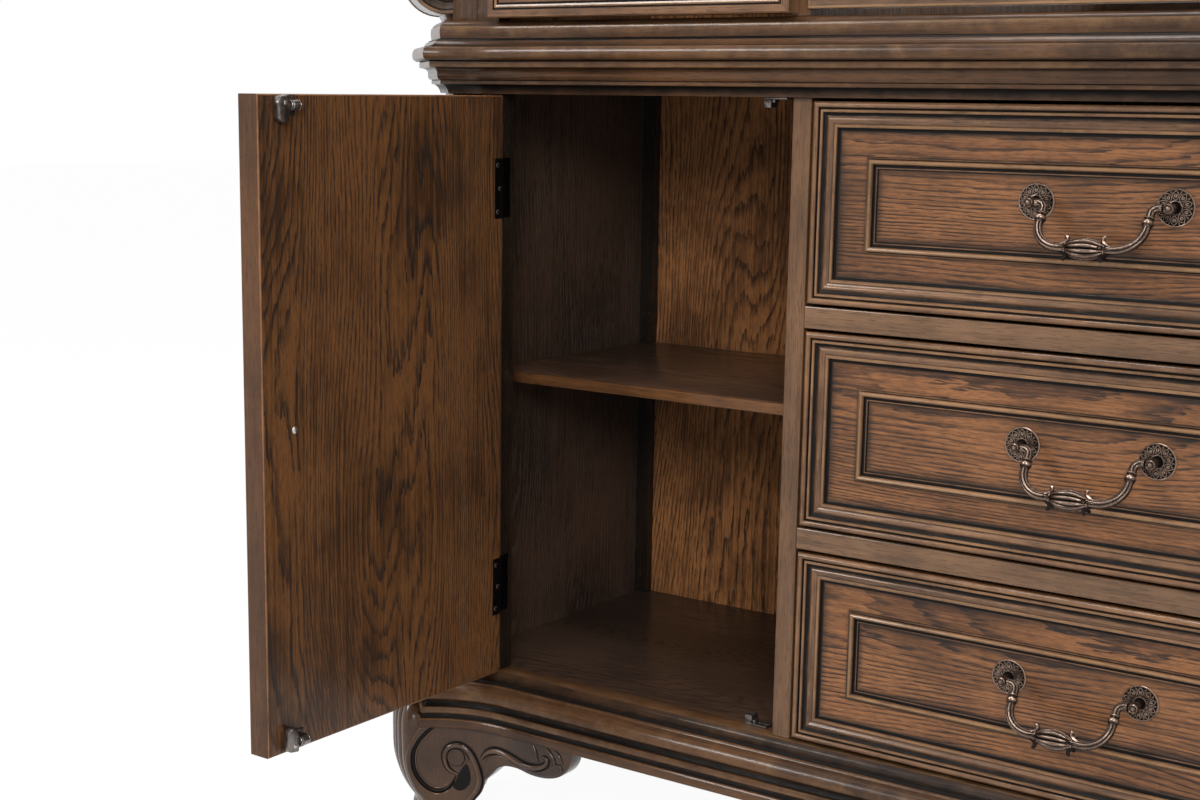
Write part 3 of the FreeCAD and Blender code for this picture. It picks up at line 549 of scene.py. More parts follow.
def run_moulding(name, points, cant, level, backing=-18):
    """One moulding right round: middle of the front, flare, cant, flare, side, and its twin."""
    steps = 12
    height = points[-1][0]
    loop = [(0, backing, 0)] + points + [(height, backing, 0), (0, backing, 0)]
    piece = line(name, [Vector((0, face_y - out * mm, (level + up) * mm)) for up, out, _ in loop],
                 [tone for _, _, tone in loop])
    bpy.ops.mesh.select_all(action="SELECT")

    def turned(co, way):
        offset = Vector((co.x, co.y)) - flare_centre
        out = flare_radius - offset.length
        reach = flare_radius - flare_start - math.sqrt(2) * (cant * mm + out)
        angle = math.acos(reach / offset.length / math.sqrt(2)) - math.pi / 4
        plan = Matrix.Rotation(way * angle / steps, 2) @ offset + flare_centre
        return Vector((plan.x, plan.y, co.z))

    draw_on(piece, lambda co: co - Vector((half_case - flare_start, 0, 0)))
    for _ in range(steps):
        draw_on(piece, lambda co: turned(co, 1))
    draw_on(piece, across_corner)
    for _ in range(steps):
        draw_on(piece, lambda co: across_corner(turned(across_corner(co), -1)))
    draw_on(piece, lambda co: Vector((co.x, back_y, co.z)))
    bpy.ops.mesh.select_all(action="SELECT")
    bpy.ops.mesh.remove_doubles(threshold=0.01 * mm)
    pick(piece, "VERT", lambda v: v.co.y > back_y - 0.01 * mm)
    bpy.ops.mesh.edge_face_add()
    end_shaping()
    bpy.ops.object.modifier_add(type="MIRROR")
    piece.modifiers[0].merge_threshold = 0.01 * mm
    bpy.ops.object.modifier_apply(modifier=piece.modifiers[0].name)
    start_shaping(piece)
    face_outwards()
    end_shaping()
    return piece


run_wood = stained("moulding wood", None, (0.108, 0.05, 0.022), (0.035, 0.0163, 0.008),
                   rub=(0.22, 0.12, 0.054), gloss=0.3, coat=0.22)
apron = section(
    (0, 29.4, 0.3), (0.8, 30, 0.1), (8.6, 30, 0), (9.8, 29.2, 0.9), (10.4, 26, -0.8), (15.6, 25.4, -0.5),
    (16.2, 27.4, 0.6), (17, 28, 0.7), (21.4, 28, 0.4), (22.2, 27.2, 0.8), (22.8, 23, -0.8),
    (31, 23, -0.3, -2.2), (31.5, 26.4, 0.2), (33.4, 27.6, 0.5), (47.6, 17, 0.25, 3.0), (49.2, 16.2, 0.6),
    (49.8, 15.4, 0.2), (50.1, 12.9, -1), (52.4, 12.2, -0.6), (61.2, 3.2, -0.35, -2.2), (62, 2, 0.8))
fit(run_moulding("apron", apron, -1, 120), (run_wood,), ("apron_moulding",), smooth=32)
under_top = section(
    (0, 7, -0.3), (9, 13, -0.8, -1.2), (9.4, 15.6, 0.2), (10, 16.2, 0.4), (13, 16.2, 0.2), (13.6, 15.6, -0.6),
    (14, 18, 0.2), (18.8, 19.8, 0.1, 0.5), (26, 25.4, -0.5, -2.2), (26.4, 28, 0.2), (27.2, 28.5, 0.7),
    (32, 28.5, 0.3), (33, 27.8, -1))
fit(run_moulding("top_moulding_run", under_top, -12, case_high), (run_wood,),
    ("top_moulding",), smooth=32)
nosing = section(
    (0, 31, -1), (0.6, 33, -0.4), (2.6, 35, 0.5), (11.5, 34.8, 0.3, 0.9), (13.6, 33.4, 0.5),
    (14.2, 31.6, -0.7), (20, 21.4, 0.0, -2.0), (20.6, 19.6, -0.8), (22, 18.5, -1))
fit(run_moulding("base_top_run", nosing, -12, case_high + 33, -60), (run_wood,),
    ("base_top",), smooth=32)
hutch_edge = section(
    (0, 15, -1), (0.5, 16.2, 0.1), (12, 16.6, 0.8, 0.5), (12.8, 16.2, 1.0), (13.2, 15.4, -0.4),
    (17.4, 12, 0, 0.4), (18, 11, -0.2))
fit(run_moulding("hutch_board_run", hutch_edge, -12, hutch_low - 18, -60), (run_wood,),
    ("hutch_board",), smooth=32)


# ---- drawer fronts ----
# Each front is a board veneered with lively oak, grain level, inside a mitred frame moulding;
# a worn half-round bead frames the middle, where the pull sits. The box behind is plain.
def inset(piece, stretches, start=0):
    """Works a moulding (in, high, tone) inwards from the picked face."""
    last_in, last_high = start, stretches[0][1]
    for going_in, high, tone in stretches[1:]:
        bpy.ops.mesh.inset(thickness=(going_in - last_in) * mm, depth=(high - last_high) * mm)
        mark(piece, tone)
        last_in, last_high = going_in, high


def rounded(*stretches):
    """Section across a frame: (in, high, tone), with a sag for rounded stretches."""
    return [(going_in, high, tone) for high, going_in, tone in section(
        *[(s[1], s[0], *s[2:3], *[-sag for sag in s[3:]]) for s in stretches])]


def to_edges(face, x0, x1, z0, z1):
    """How far in mm a face lies from the nearer upright edge of a board, and from the level one."""
    x, _, z = face.center / mm
    return (x1 - x0) / 2 - abs(x - (x0 + x1) / 2), (z1 - z0) / 2 - abs(z - (z0 + z1) / 2)


def fielded(name, x0, x1, z0, z1, field, rear, relief, beside, above):
    """A board with its frame moulding, relief high, and a bead that stands beside and above from it.

    Materials: level frame, upright frame, field, back, edge."""
    k = relief / 8
    # Tones below 0 in these sections go black: painted shade in the grooves, partly glaze.
    frame_lines = rounded(
        (0, 4.8 * k, 0), (1.0, 7.0 * k, 0.1, 0.3), (3.3, 8 * k, 0.5, 0.35), (5.3, 7.0 * k, 0.1, 0.35),
        (5.7, 4.5 * k, -1), (7.0, 4.3 * k, -1), (7.3, 5.9 * k, 0.3), (7.8, 6.3 * k, 0.75),
        (9.6, 6.2 * k, 0.5), (10.2, 4.7 * k, -0.9), (14.0, 3.5 * k, -0.45, -0.7), (15.0, 4.3 * k, 0.3, 0.1),
        (17.4, 4.2 * k, 0.4, 0.4), (20.4, 3.0 * k, -0.5, -0.2), (20.8, 3.6 * k, 0.4), (21.3, 3.9 * k, 0.85),
        (23.4, 3.8 * k, 0.5), (23.9, 0.8 * k, -1), (26.3, 0.5, -1), (26.6, 0.35, -0.4), (27, 0, -0.7))
    bead_lines = [(0, 0, -0.8), (0.3, 1.2, -0.5), (1.8, 1.3, -0.3), (2.3, 0.7, -1), (2.7, 3.2, 0.1),
                  (3.4, 4.4, 0.8), (4.6, 5.0, 1), (5.9, 4.5, 0.8), (6.8, 3.2, 0.2), (7.3, 0.8, -1),
                  (9.4, 0.7, -1), (9.8, 1.3, -0.1), (10.8, 1.4, -0.4), (11.5, 0, -1)]
    front_y = field - frame_lines[0][1]
    piece = block(name, (x0, front_y, z0), (x1, rear, z1), 0)
    mark_all(piece, 0)
    pick(piece, "FACE", lambda f: f.normal.y > 0.9)
    bpy.ops.mesh.bevel(offset=1.8 * mm, segments=2)
    pick(piece, "VERT", lambda v: rear - 1.75 < v.co.y / mm < rear - 0.1)
    mark(piece, 1.2)
    pick(piece, "FACE", lambda f: f.normal.y < -0.9 and f.calc_area() > 0.001)
    mark(piece, frame_lines[0][2])
    inset(piece, frame_lines)
    frame_width = frame_lines[-1][0]
    # The field darkens next to the frame and round the bead: painted shade from the mouldings.
    inset(piece, [(frame_width, 0, 0), (32, 0, -0.35), (38, 0, 0.0), (frame_width + beside - 5, 0, 0.0)],
          frame_width)
    bpy.ops.mesh.inset(thickness=5 * mm, depth=0)
    tall = (z1 - z0) / 2 - frame_width
    bpy.ops.transform.resize(value=(1, 1, (tall - above) / (tall - beside)))
    mark(piece, -0.55)
    inset(piece, bead_lines)
    inset(piece, [(0, 0, 0), (0.6, 0, -0.8), (6, 0, -0.35), (14, 0, 0)])
    end_shaping()
    for face in piece.data.polygons:
        level = all(abs(piece.data.vertices[v].co.y / mm - field) < 0.05 for v in face.vertices)
        from_side, from_end = to_edges(face, x0, x1, z0, z1)
        edge = face.normal.y > -0.1 and min(from_side, from_end) < 2
        if level:
            face.material_index = 2
        elif face.normal.y > 0.95:
            face.material_index = 3
        else:
            face.material_index = 4 if edge else int(from_side < from_end)
    return piece


level_frame = stained("level frame wood", X, (0.22, 0.11, 0.054), (0.078, 0.038, 0.0195))
upright_frame = stained("upright frame wood", Z, (0.22, 0.11, 0.054), (0.078, 0.038, 0.0195))
edge_wood = stained("board edge wood", Z, (0.115, 0.05, 0.02), (0.06, 0.026, 0.011), rub=(0.42, 0.19, 0.08),
                    coat=0.2)
field_oak = oak("drawer field oak", X, (0.285, 0.12, 0.047), (0.115, 0.048, 0.02), (0.02, 0.0135, 0.0115),
                shift=0.13, length=1.1, rings=58, straight=150, strokes=30)
drawer_half, drawer_face = bay_in - drawer_gap, -187
for number, low in enumerate(drawer_lows, 1):
    front = fielded("drawer_%d_face" % number, -drawer_half, drawer_half, low, low + drawer_high,
                    drawer_face, drawer_face + 19, 8, 27, 22)
    fit(front, (level_frame, upright_frame, field_oak, deck_oak, edge_wood),
        ("drawer_%d_front" % number, "drawer_%d_moulding" % number), "drawer_%d" % number)


# ---- pulls ----
# Cast antique bronze: a leaf rosette with a knuckle screwed to the drawer at each end of a
# swinging bail, whose reeded arms swell into a melon grip held by leaf tips.
def cast(name, dark, warm, bright, rough):
    """Cast or pressed metal, dark in its hollows and rubbed bright where it stands out."""
    metal = Finish(name, Metallic=0.9)
    cloud = metal.noise((140.0, 140.0, 140.0), 3.0, 0.6)
    colour = metal.mix(metal.rise(cloud, 0.3, 0.7), dark, warm)
    marked_tone = metal.mark("tone") + (metal.noise((420.0, 420.0, 420.0), 2.0) - 0.5) * 0.5
    colour = metal.mix(metal.rise(marked_tone, 0.1, 0.9), colour, bright)
    sunk = metal.rise(marked_tone * -1.0, 0.1, 0.8)
    colour = metal.mix(sunk, colour, (0.012, 0.009, 0.008))
    metal.set(Base_Color=colour, Roughness=sunk * 0.35 + (cloud - 0.5) * 0.15 + rough,
              Normal=metal.bump(cloud, 0.0002))
    return metal.material


bronze = cast("antique bronze", (0.048, 0.033, 0.026), (0.085, 0.057, 0.043), (0.33, 0.23, 0.175), 0.28)


def flow(points, steps=4):
    """A smooth line through points."""
    made = []
    for i in range(len(points) - 1):
        before, start, end = points[max(i - 1, 0)], points[i], points[i + 1]
        after = points[min(i + 2, len(points) - 1)]
        for step in range(steps):
            t = step / steps
            made.append(tuple(0.5 * (2 * b + (c - a) * t + (2 * a - 5 * b + 4 * c - d) * t * t
                                     + (3 * b - 3 * c + d - a) * t ** 3)
                              for a, b, c, d in zip(before, start, end, after)))
    return made + [tuple(points[-1])]


def sweep(name, path, profile, face, sizes=None, tones=1.0):
    """Draws a section (side, up, tone) along a path that lies flat across face."""
    face = Vector(face).normalized()
    path = [Vector(p) for p in path]
    sizes = sizes or [1] * len(path)
    runs = [(path[min(i + 1, len(path) - 1)] - path[max(i - 1, 0)]).normalized() for i in range(len(path))]
    side = runs[0].cross(face)
    first = [path[0] + (side * s + face * u) * sizes[0] * mm for s, u, _ in profile]
    piece = line(name, first, [tone * tones for _, _, tone in profile])
    bpy.ops.mesh.select_all(action="SELECT")
    bpy.ops.mesh.edge_face_add()
    for i in range(1, len(path)):
        angle = math.atan2(runs[i - 1].cross(runs[i]).dot(face), runs[i - 1].dot(runs[i]))
        turn = Matrix.Rotation(angle, 3, face)
        grow = sizes[i] / sizes[i - 1]
        draw_on(piece, lambda co: path[i] + turn @ (co - path[i - 1]) * grow)
    face_outwards()
    end_shaping()
    return piece


def lathe(name, centre, axis, profile, steps=32):
    """Turns a profile (radius, along, tone) in mm round an axis."""
    centre, axis = Vector(centre) * mm, Vector(axis).normalized()
    out = axis.orthogonal().normalized()
    piece = line(name, [centre + (out * max(r, 0) + axis * a) * mm for r, a, _ in profile],
                 [tone for _, _, tone in profile])
    bpy.ops.mesh.select_all(action="SELECT")
    bpy.ops.mesh.spin(steps=steps, angle=2 * math.pi, center=centre, axis=axis)
    bpy.ops.mesh.select_all(action="SELECT")
    bpy.ops.mesh.remove_doubles(threshold=0.003 * mm)
    face_outwards()
    end_shaping()
    return piece


def moved(piece, matrix, name=None):
    """Places a piece, or a named copy of it, with its place in its mesh."""
    if name:
        data = piece.data.copy()
        piece = piece.copy()
        piece.data = data
        piece.name = name
        bpy.context.collection.objects.link(piece)
    select_only(piece)
    piece.matrix_world = matrix
    place_in_mesh()
    return piece


def leaf(name, points, push, ridge, deep):
    """A small cast leaf: an outline standing round a sunk blade with a rib up the middle."""
    piece = slab(name, points, push, 0)
    mark_all(piece, 0)
    way = push.normalized()
    pick(piece, "FACE", lambda f: f.normal.dot(way) > 0.99)
    mark(piece, 1.2)
    for inwards, rise, tone in ((0.9, 0, 1.1), (0.4, -deep, -1), (1.2, 0, -0.9), (0.5, deep * 0.9, 1.0)):
        bpy.ops.mesh.inset(thickness=inwards * ridge * mm, depth=rise * mm, use_even_offset=False)
        mark(piece, tone)
    end_shaping()
    return piece


forwards = (0, -1, 0)


def rosette(name):
    """One rosette and knuckle at the origin, facing -Y."""
    plate = lathe("plate", (0, 0, 0), forwards, [
        (0, 0, 0), (15.4, 0, -1), (16.1, 0.4, 0), (16.2, 1.1, 0.7), (15.6, 1.7, 0.9), (14.9, 1.5, 0.4),
        (14.5, 0.8, -1), (11, 1.2, -1), (6.6, 1.8, -1), (6.3, 2.4, 0.2), (5.6, 2.6, 0.5), (4.9, 2.2, -0.6),
        (3.6, 1.9, -1), (3.3, 3, -0.7), (3.1, 9, -0.2), (3.3, 11.5, 0), (4.3, 13, 0.3), (4.75, 15, 0.1),
        (4.75, 18.4, 0.1), (4.3, 20.2, 0.7), (3.5, 20.9, 0.5), (2.9, 20.5, -0.8), (2.3, 20.4, -0.3),
        (1.4, 20.9, 0.4), (0, 21.1, 0.6)], 40)
    outline = flow([(0, 6.4), (1.5, 7.3), (2.75, 9.4), (2.75, 11.4), (1.5, 13.3), (0, 14.9)], 2)
    outline = outline + [(-x, z) for x, z in outline[-2:0:-1]]
    petal = leaf("petal", [Vector((x, -1.2, z)) * mm for x, z in outline], Vector((0, -1.7, 0)) * mm,
                 0.5, 0.8)
    dart_line = ((0, 11.2), (0.8, 13.2), (0, 14.9), (-0.8, 13.2))
    dart = leaf("dart", [Vector((x, -1.1, z)) * mm for x, z in dart_line], Vector((0, -0.9, 0)) * mm,
                0.2, 0.3)
    turns = [Matrix.Rotation(math.radians(18 * i), 4, "Y") for i in range(20)]
    petals = [moved(petal, turns[2 * i], "petal_%d" % i) for i in range(1, 10)]
    darts = [moved(dart, turns[2 * i + 1], "dart_%d" % i) for i in range(10)]
    bpy.data.objects.remove(dart)
    return joined(name, [plate, petal] + petals + darts)


def reeded(radius, reeds, deep, fill=5):
    """Closed section of a rod with round reeds and dark grooves between them."""
    points = []
    for i in range(reeds * fill):
        share = (i % fill) / fill
        lift = math.sin(math.pi * share) ** 0.7
        angle = 2 * math.pi * i / (reeds * fill)
        reach = radius * (1 - deep + deep * lift)
        points.append((reach * math.cos(angle), reach * math.sin(angle),
                       -1 if share == 0 else lift * 1.5 - 0.95))
    return points


def bail(name):
    """The swinging bail at the origin, hanging straight down, its hinge pins along X."""
    arm, drop, bend, turn_in = 46, 42.4, 6, 22.4
    elbow = [(-arm - bend + bend * math.sin(math.radians(a)), -bend + bend * math.cos(math.radians(a)))
             for a in range(0, 91, 15)]
    hook = [(-54.6, 0)] + elbow + [(-arm, -drop + turn_in)]
    curve = [(-arm + turn_in * (1 - math.cos(math.radians(a))),
              -drop + turn_in * (1 - math.sin(math.radians(a)))) for a in range(10, 91, 10)]
    path = hook + curve + [(-16, -drop), (-11, -drop)]
    sizes = [0.95] * len(hook) + [1.0] * len(curve) + [1.05, 1.2]
    rod = sweep(name, [Vector((x, 0, z)) * mm for x, z in path], reeded(3.9, 6, 0.22), forwards, sizes)
    collar = lathe("collar", (-arm, 0, -9.5), (0, 0, -1), [
        (2, 0, -1), (4.4, 0.3, 0.2), (4.6, 1, 0.8), (4.2, 1.7, 0), (3.5, 2.1, -1), (3.9, 2.7, -0.3),
        (5.0, 4, 0.5), (5.3, 5.5, 0.8), (4.8, 7.2, 0.3), (3.8, 8.4, -0.8), (4.1, 8.9, 0.3),
        (3.8, 9.6, -0.4), (2, 9.8, -1)], 24)
    ball = lathe("pin_ball", (-54.4, 0, 0), (1, 0, 0), [
        (1.4, -4.2, -0.5), (1.5, -0.6, -1), (2.9, -0.2, 0), (3.5, 1, 0.7), (3.3, 2.3, 0.3),
        (2.4, 3.2, -0.8)], 20)
    tip_path = flow([(-23, 2.6), (-19, 3.9), (-15.6, 6.4), (-15.2, 9.6), (-17.4, 11.4)], 3)
    tip = sweep("leaf_tip", [Vector((x, 0, z)) * mm for x, z in tip_path],
                [(-1.5, -1.2, -1), (-1.6, 0.4, 0), (0, 1.3, 0.9), (1.6, 0.4, 0), (1.5, -1.2, -1)], forwards,
                [0.6 + 0.5 * math.sin(math.pi * s / len(tip_path)) for s in range(len(tip_path) - 1)] + [0.2])
    at_grip = Matrix.Translation((0, 0, -drop * mm))
    tips = [moved(tip, at_grip @ Matrix.Rotation(math.radians(72 * i + 36), 4, "X"), "leaf_tip_%d" % i)
            for i in range(5)]
    bpy.data.objects.remove(tip)
    ring = lathe("ring", (-16.4, 0, -drop), (1, 0, 0), [
        (3, -1.6, -1), (4.7, -1.2, 0.3), (5.1, -0.3, 0.8), (4.8, 0.6, 0), (3.5, 1, -1)], 24)
    halves = both_sides("halves", [rod, collar, ball, ring] + tips)
    swell = [(-17, 0.4), (-15, 0.55), (-12, 0.72), (-8.5, 0.87), (-4, 0.97), (0, 1.0), (4, 0.97), (8.5, 0.87),
             (12, 0.72), (15, 0.55), (17, 0.4)]
    grip = sweep("grip", [Vector((x, 0, -drop)) * mm for x, _ in swell], reeded(9.9, 11, 0.27, 6), forwards,
                 [s for _, s in swell])
    return joined(name, [halves, grip])


first_rosette, first_bail = rosette("rosette"), bail("bail")
lean = Matrix.Rotation(math.radians(-34.5), 4, "X")
for number, low in enumerate(drawer_lows, 1):
    pivot = low + drawer_high / 2 + 10.5
    ends = [moved(first_rosette, Matrix.Translation(Vector((x, drawer_face, pivot)) * mm), "rosette_%d" % x)
            for x in (-60, 60)]
    fit(joined("drawer_%d_pull_plates" % number, ends), (bronze,),
        ("drawer_%d_rosettes" % number,), "drawer_%d" % number, smooth=40)
    handle = moved(first_bail, Matrix.Translation(Vector((0, drawer_face - 17, pivot)) * mm) @ lean,
                   "drawer_%d_handle" % number)
    fit(handle, (bronze,), ("drawer_%d_bail" % number,), "bail_%d" % number, smooth=40)
bpy.data.objects.remove(first_rosette)
bpy.data.objects.remove(first_bail)


# ---- feet ----
# Front feet are carved scrolls across the corners: a bracket cut from thick solid wood and
# bent to the flare of the apron on each side of a reeded knee. Rear feet are tapered blocks.
foot_wood = stained("foot wood", Z, (0.1, 0.046, 0.0195), (0.021, 0.0098, 0.005), rub=(0.17, 0.09, 0.044),
                    gloss=0.24, coat=0.5, streaks=0.12)
bracket_out, sweep_end = 25, 0.735        # mm proud of the case; angle at which the bend stops


def flat(along, z, out=bracket_out):
    """Point of the unbent bracket: along from the start of the flare towards the corner."""
    return Vector((flare_centre.x / mm - along, case_front - out, z)) * mm


def bent(piece, slices=()):
    """Slices a flat bracket piece and bends it to the flare."""
    start_shaping(piece)
    for along in slices:
        bpy.ops.mesh.select_all(action="SELECT")
        bpy.ops.mesh.bisect(plane_co=flat(along, 0), plane_no=(1, 0, 0))
    end_shaping()
    radius = flare_radius - bracket_out * mm
    for point in piece.data.vertices:
        along = flare_centre.x - point.co.x
        if along > 0:
            angle = min(along / radius, sweep_end)
            rest = along - angle * radius
            reach = point.co.y - flare_centre.y
            point.co.x = flare_centre.x - reach * math.sin(angle) - rest * math.cos(angle)
            point.co.y = flare_centre.y + reach * math.cos(angle) - rest * math.sin(angle)
    return piece


def bead_line(size, tone=1.0):
    """Half-round section (side, up, tone), with painted shade along both edges, black like settled glaze."""
    half = [(1.55, -1.5, -0.2), (1.55, 0.12, -0.2), (1.02, 0.1, -1), (0.86, 0.42 * size, -0.5),
            (0.45, 0.84 * size, 0.4 * tone)]
    return [(-side * size, up, shade) for side, up, shade in half] + [(0, 0.97 * size, 0.9 * tone)] + \
        [(side * size, up, shade) for side, up, shade in half[::-1]]


def carved_bead(name, points, size, sizes, lift=0, tone=1.0):
    """A round bead of the carving that swells and dies away along its line."""
    path = flow([(*p, s) for p, s in zip(points, sizes)], 5)
    return bent(sweep(name, [flat(a, z, bracket_out + lift) for a, z, _ in path], bead_line(size, tone),
                      forwards, [s for _, _, s in path]))


def raised(name, points, height, ease):
    """A raised flat of the carving, painted shade round its foot, dark like glaze."""
    piece = slab(name, [flat(a, z, bracket_out - 0.5) for a, z in points],
                 Vector((0, -(height + 0.5) * mm, 0)), ease, 3)
    half_way = flat(0, 0, bracket_out + height * 0.5).y
    pick(piece, "VERT", lambda v: v.co.y > half_way)
    mark(piece, -1.0)
    end_shaping()
    return bent(piece, every)


# Lines of the carving in mm: along from the start of the flare towards the corner, and height.
every = range(0, 115, 5)
silhouette = [(97.5, 119.5), (106.3, 104.5), (110.7, 93.1), (112.4, 81.6), (110.8, 70.0), (107.0, 58.3),
              (101.0, 46.5), (92.2, 34.6), (87.6, 17), (91, 0)]
lip = [(36, 0), (42, 20), (40.5, 37.5), (31, 50.5), (27.4, 62.6)]
lower_edge = [(22.5, 62.5), (13.7, 72), (7.3, 79.1), (-3.5, 84.4), (-19.9, 85.4), (-37.5, 82.4),
              (-56.5, 82.8), (-72.5, 87.2), (-83.5, 95.5), (-89.5, 106.5), (-91.0, 119.5)]
front_edge = flow(silhouette, 3)
board_line = front_edge + flow(lip, 3) + flow(lower_edge, 3)
bracket = slab("bracket", [flat(a, z) for a, z in board_line], Vector((0, 22 * mm, 0)), 1.6, 3)
pieces = [bent(bracket, every)]
groove = [(80, 120), (88.5, 114), (97.5, 104), (103.2, 93), (104.7, 82), (102.8, 69.7), (95.9, 57.4),
          (85.6, 48.0), (74.5, 45.6), (63.4, 51.5), (56.7, 64.0)]
scroll_in = [(a + b, z + c) for (a, z), (b, c) in zip(groove, (
    (2, 1), (1.5, 1.3), (1.6, 1.0), (1.9, 0.5), (2, 0), (1.9, -0.5), (1.5, -1.3), (1, -1.8), (0, -2),
    (-1, -1.6), (-1.6, 0)))]
crescent = [(52.5, 68.5), (47.5, 75.0), (44.5, 80.5), (40.5, 86)]
rim_out = [(33.5, 80), (29.2, 67), (31.5, 52.5), (40.5, 39), (42.5, 20), (37, 1)]
band_line = (flow(scroll_in, 3) + flow(crescent, 2) + flow(rim_out, 3)
             + [(along - 0.7, z) for along, z in front_edge[::-1]])
pieces.append(raised("scroll_band", band_line, 2.4, 1.3))
# The groove's bead is marked black through: painted shade in the groove.
pieces.append(carved_bead("scroll_groove", groove, 2.7, [0.7, 0.9, 1, 1, 1, 1, 1, 1, 0.95, 0.8, 0.5],
                          lift=-1.0, tone=-2.4))
inner = [(a - b, z - c) for (a, z), (b, c) in zip(groove, (
    (3, 1.6), (2.6, 2.1), (2.9, 1.6), (3.3, 0.8), (3.4, 0), (3.3, -0.9), (2.5, -2.3), (1.5, -3.1),
    (0, -3.4), (-2, -2.6)))]
pieces.append(carved_bead("scroll_fillet", inner, 1.25, [0.5] + [1] * 8 + [0.4], lift=-0.35, tone=0.9))
spiral = [(54.5, 66.0), (60.5, 68.3), (66.3, 73.5), (69.5, 84.7), (66.3, 94.8), (56.7, 99.5), (46.5, 97.0),
          (38.8, 89.3), (32.6, 77.0), (29.3, 63.6), (32.3, 51.5), (41, 38), (43.5, 20), (38, 3)]
pieces.append(carved_bead("scroll_rim", spiral, 3.8, [0.25, 0.45, 0.6, 0.75, 0.85, 0.9, 0.95, 1, 1.05, 1.1,
                                                      1.05, 0.95, 0.8, 0.6], lift=0.3))
# The eye is a shallow dish, marked black round its foot: painted shade at the crease.
eye = lathe("scroll_eye", flat(56.7, 85.2, bracket_out - 0.3) / mm, forwards, [
    (0, 0.5, 0.2), (3, 0.6, 0.15), (6, 0.9, 0.1), (8.6, 1.5, 0), (9.7, 1.3, -0.5), (10.3, 0.5, -1),
    (11.2, -0.5, -1)], 32)
pieces.append(bent(eye))
hollow = raised("scroll_hollow",
                flow([(52.8, 67.8), (45.0, 79.5), (41.5, 77), (39, 68), (39.5, 58), (46, 50), (54, 48),
                      (60, 52.5), (56, 60)], 3), 2.7, 0.6)
# The whole hollow is marked dark: painted shade in the concave scroll.
mark_all(hollow, -0.8)
end_shaping()
pieces.append(hollow)
wing_bead = [(27.5, 86), (22.5, 93), (16.5, 97.3), (9.0, 99.4), (-0.7, 99.2), (-13.0, 96.3), (-26.6, 92.6),
             (-40.1, 92.0), (-50.5, 94.2), (-58.5, 99.2), (-60.5, 104.5), (-56.5, 107), (-53.6, 104.2)]
pieces.append(carved_bead("wing_scroll", wing_bead, 3.6, [0.3, 0.7, 0.95, 1.05, 1.1, 1.1, 1.05, 1, 0.9, 0.8,
                                                          0.7, 0.5, 0.25], lift=0.2))
wing_under = [(24.5, 66), (17, 75), (8.5, 82), (-3.5, 87.0), (-19.9, 87.8), (-37.5, 84.8), (-56.5, 85.2),
              (-71.5, 89.5), (-81.5, 97.5)]
wing_over = [(-77, 103.5), (-68, 101), (-60, 94.5), (-50, 90), (-40.1, 88.3), (-26.6, 88.8), (-13, 92.4),
             (-0.7, 95.2), (9, 95), (17, 91), (22, 84)]
wing_band = flow(wing_under, 3) + flow(wing_over, 3)
pieces.append(raised("wing_band", wing_band, 1.6, 1.0))
for number, rib in enumerate((((-40, 119), (-44.5, 111), (-46.5, 103.5), (-50, 98.5)),
                              ((-57, 119), (-63.5, 113.5), (-69, 106), (-70.5, 98), (-66, 93)),
                              ((-68, 119), (-76, 112), (-81, 104)))):
    pieces.append(carved_bead("wing_rib_%d" % number, rib, 1.7, [0.5] + [1] * (len(rib) - 2) + [0.3]))
front_bracket = joined("bracket", pieces)
side_bracket = moved(front_bracket, Matrix.Identity(4), "side_bracket")
for point in side_bracket.data.vertices:
    point.co = across_corner(point.co)
start_shaping(side_bracket)
bpy.ops.mesh.flip_normals()
end_shaping()
diagonal = Vector((1, -1, 0)).normalized()


def strap(name, path, sizes, half, reeds, deep, thick, crown=0.0):
    """A reeded band that follows the corner's diagonal."""
    section_line = []
    for i in range(reeds * 6 + 1):
        share = i % 6 / 6
        lift = math.sin(math.pi * share) ** 0.7
        w = 2 * i / (reeds * 6) - 1
        # Between the reeds the section is marked dark: painted shade in the grooves.
        section_line.append((deep * (lift - 1) + crown * (1 - w * w), half * w,
                             lift * 1.3 - 0.9 if abs(w) < 1 else 0.1))
    section_line += [(-thick, half, 0.1), (-thick, -half, 0.1)]
    made = flow([(*p, s) for p, s in zip(path, sizes)], 3)
    return sweep(name, [corner(s, 0, z) for s, z, _ in made], section_line, diagonal, [s for _, _, s in made])


knee = strap("knee", [(27, 148), (35, 144.5), (41, 135), (43.6, 122), (43.8, 108), (43.4, 95), (43, 81),
                      (41.1, 69), (37.4, 57), (31.3, 44.3), (22.9, 32), (18.3, 17), (21.5, 0)],
             [0.72, 0.8, 0.88, 0.95, 1, 1.03] + [1.05] * 7, 53, 7, 4, 16, 9)
core_line = flow([(29, 118), (34, 93), (35, 78), (33, 64), (28, 50), (18, 33), (12, 17), (15, 1)], 3) + \
    flow([(-26, 1), (-32, 20), (-34, 40), (-38, 57.6), (-48, 79), (-66, 98), (-86, 118)], 3)
core = slab("core", [corner(s, -42, z) for s, z in core_line], diagonal * 84 * mm, 1)
block_line = [(-55, 118), (-85, 118), (-85, 164), (-55, 164)]
foot_block = slab("foot_block", [corner(s, -25, z) for s, z in block_line], diagonal * 50 * mm, 0.8)
foot = joined("front_scroll_foot", [front_bracket, side_bracket, knee, core, foot_block])
start_shaping(foot)
bpy.ops.mesh.bisect(plane_co=(0, 0, 0), plane_no=(0, 0, -1), clear_outer=True, use_fill=True,
                    threshold=0.001 * mm)
end_shaping()
feet = both_sides("front_scroll_feet", [foot])
fit(feet, (foot_wood,), ("front_feet", "foot_wings"), smooth=38)

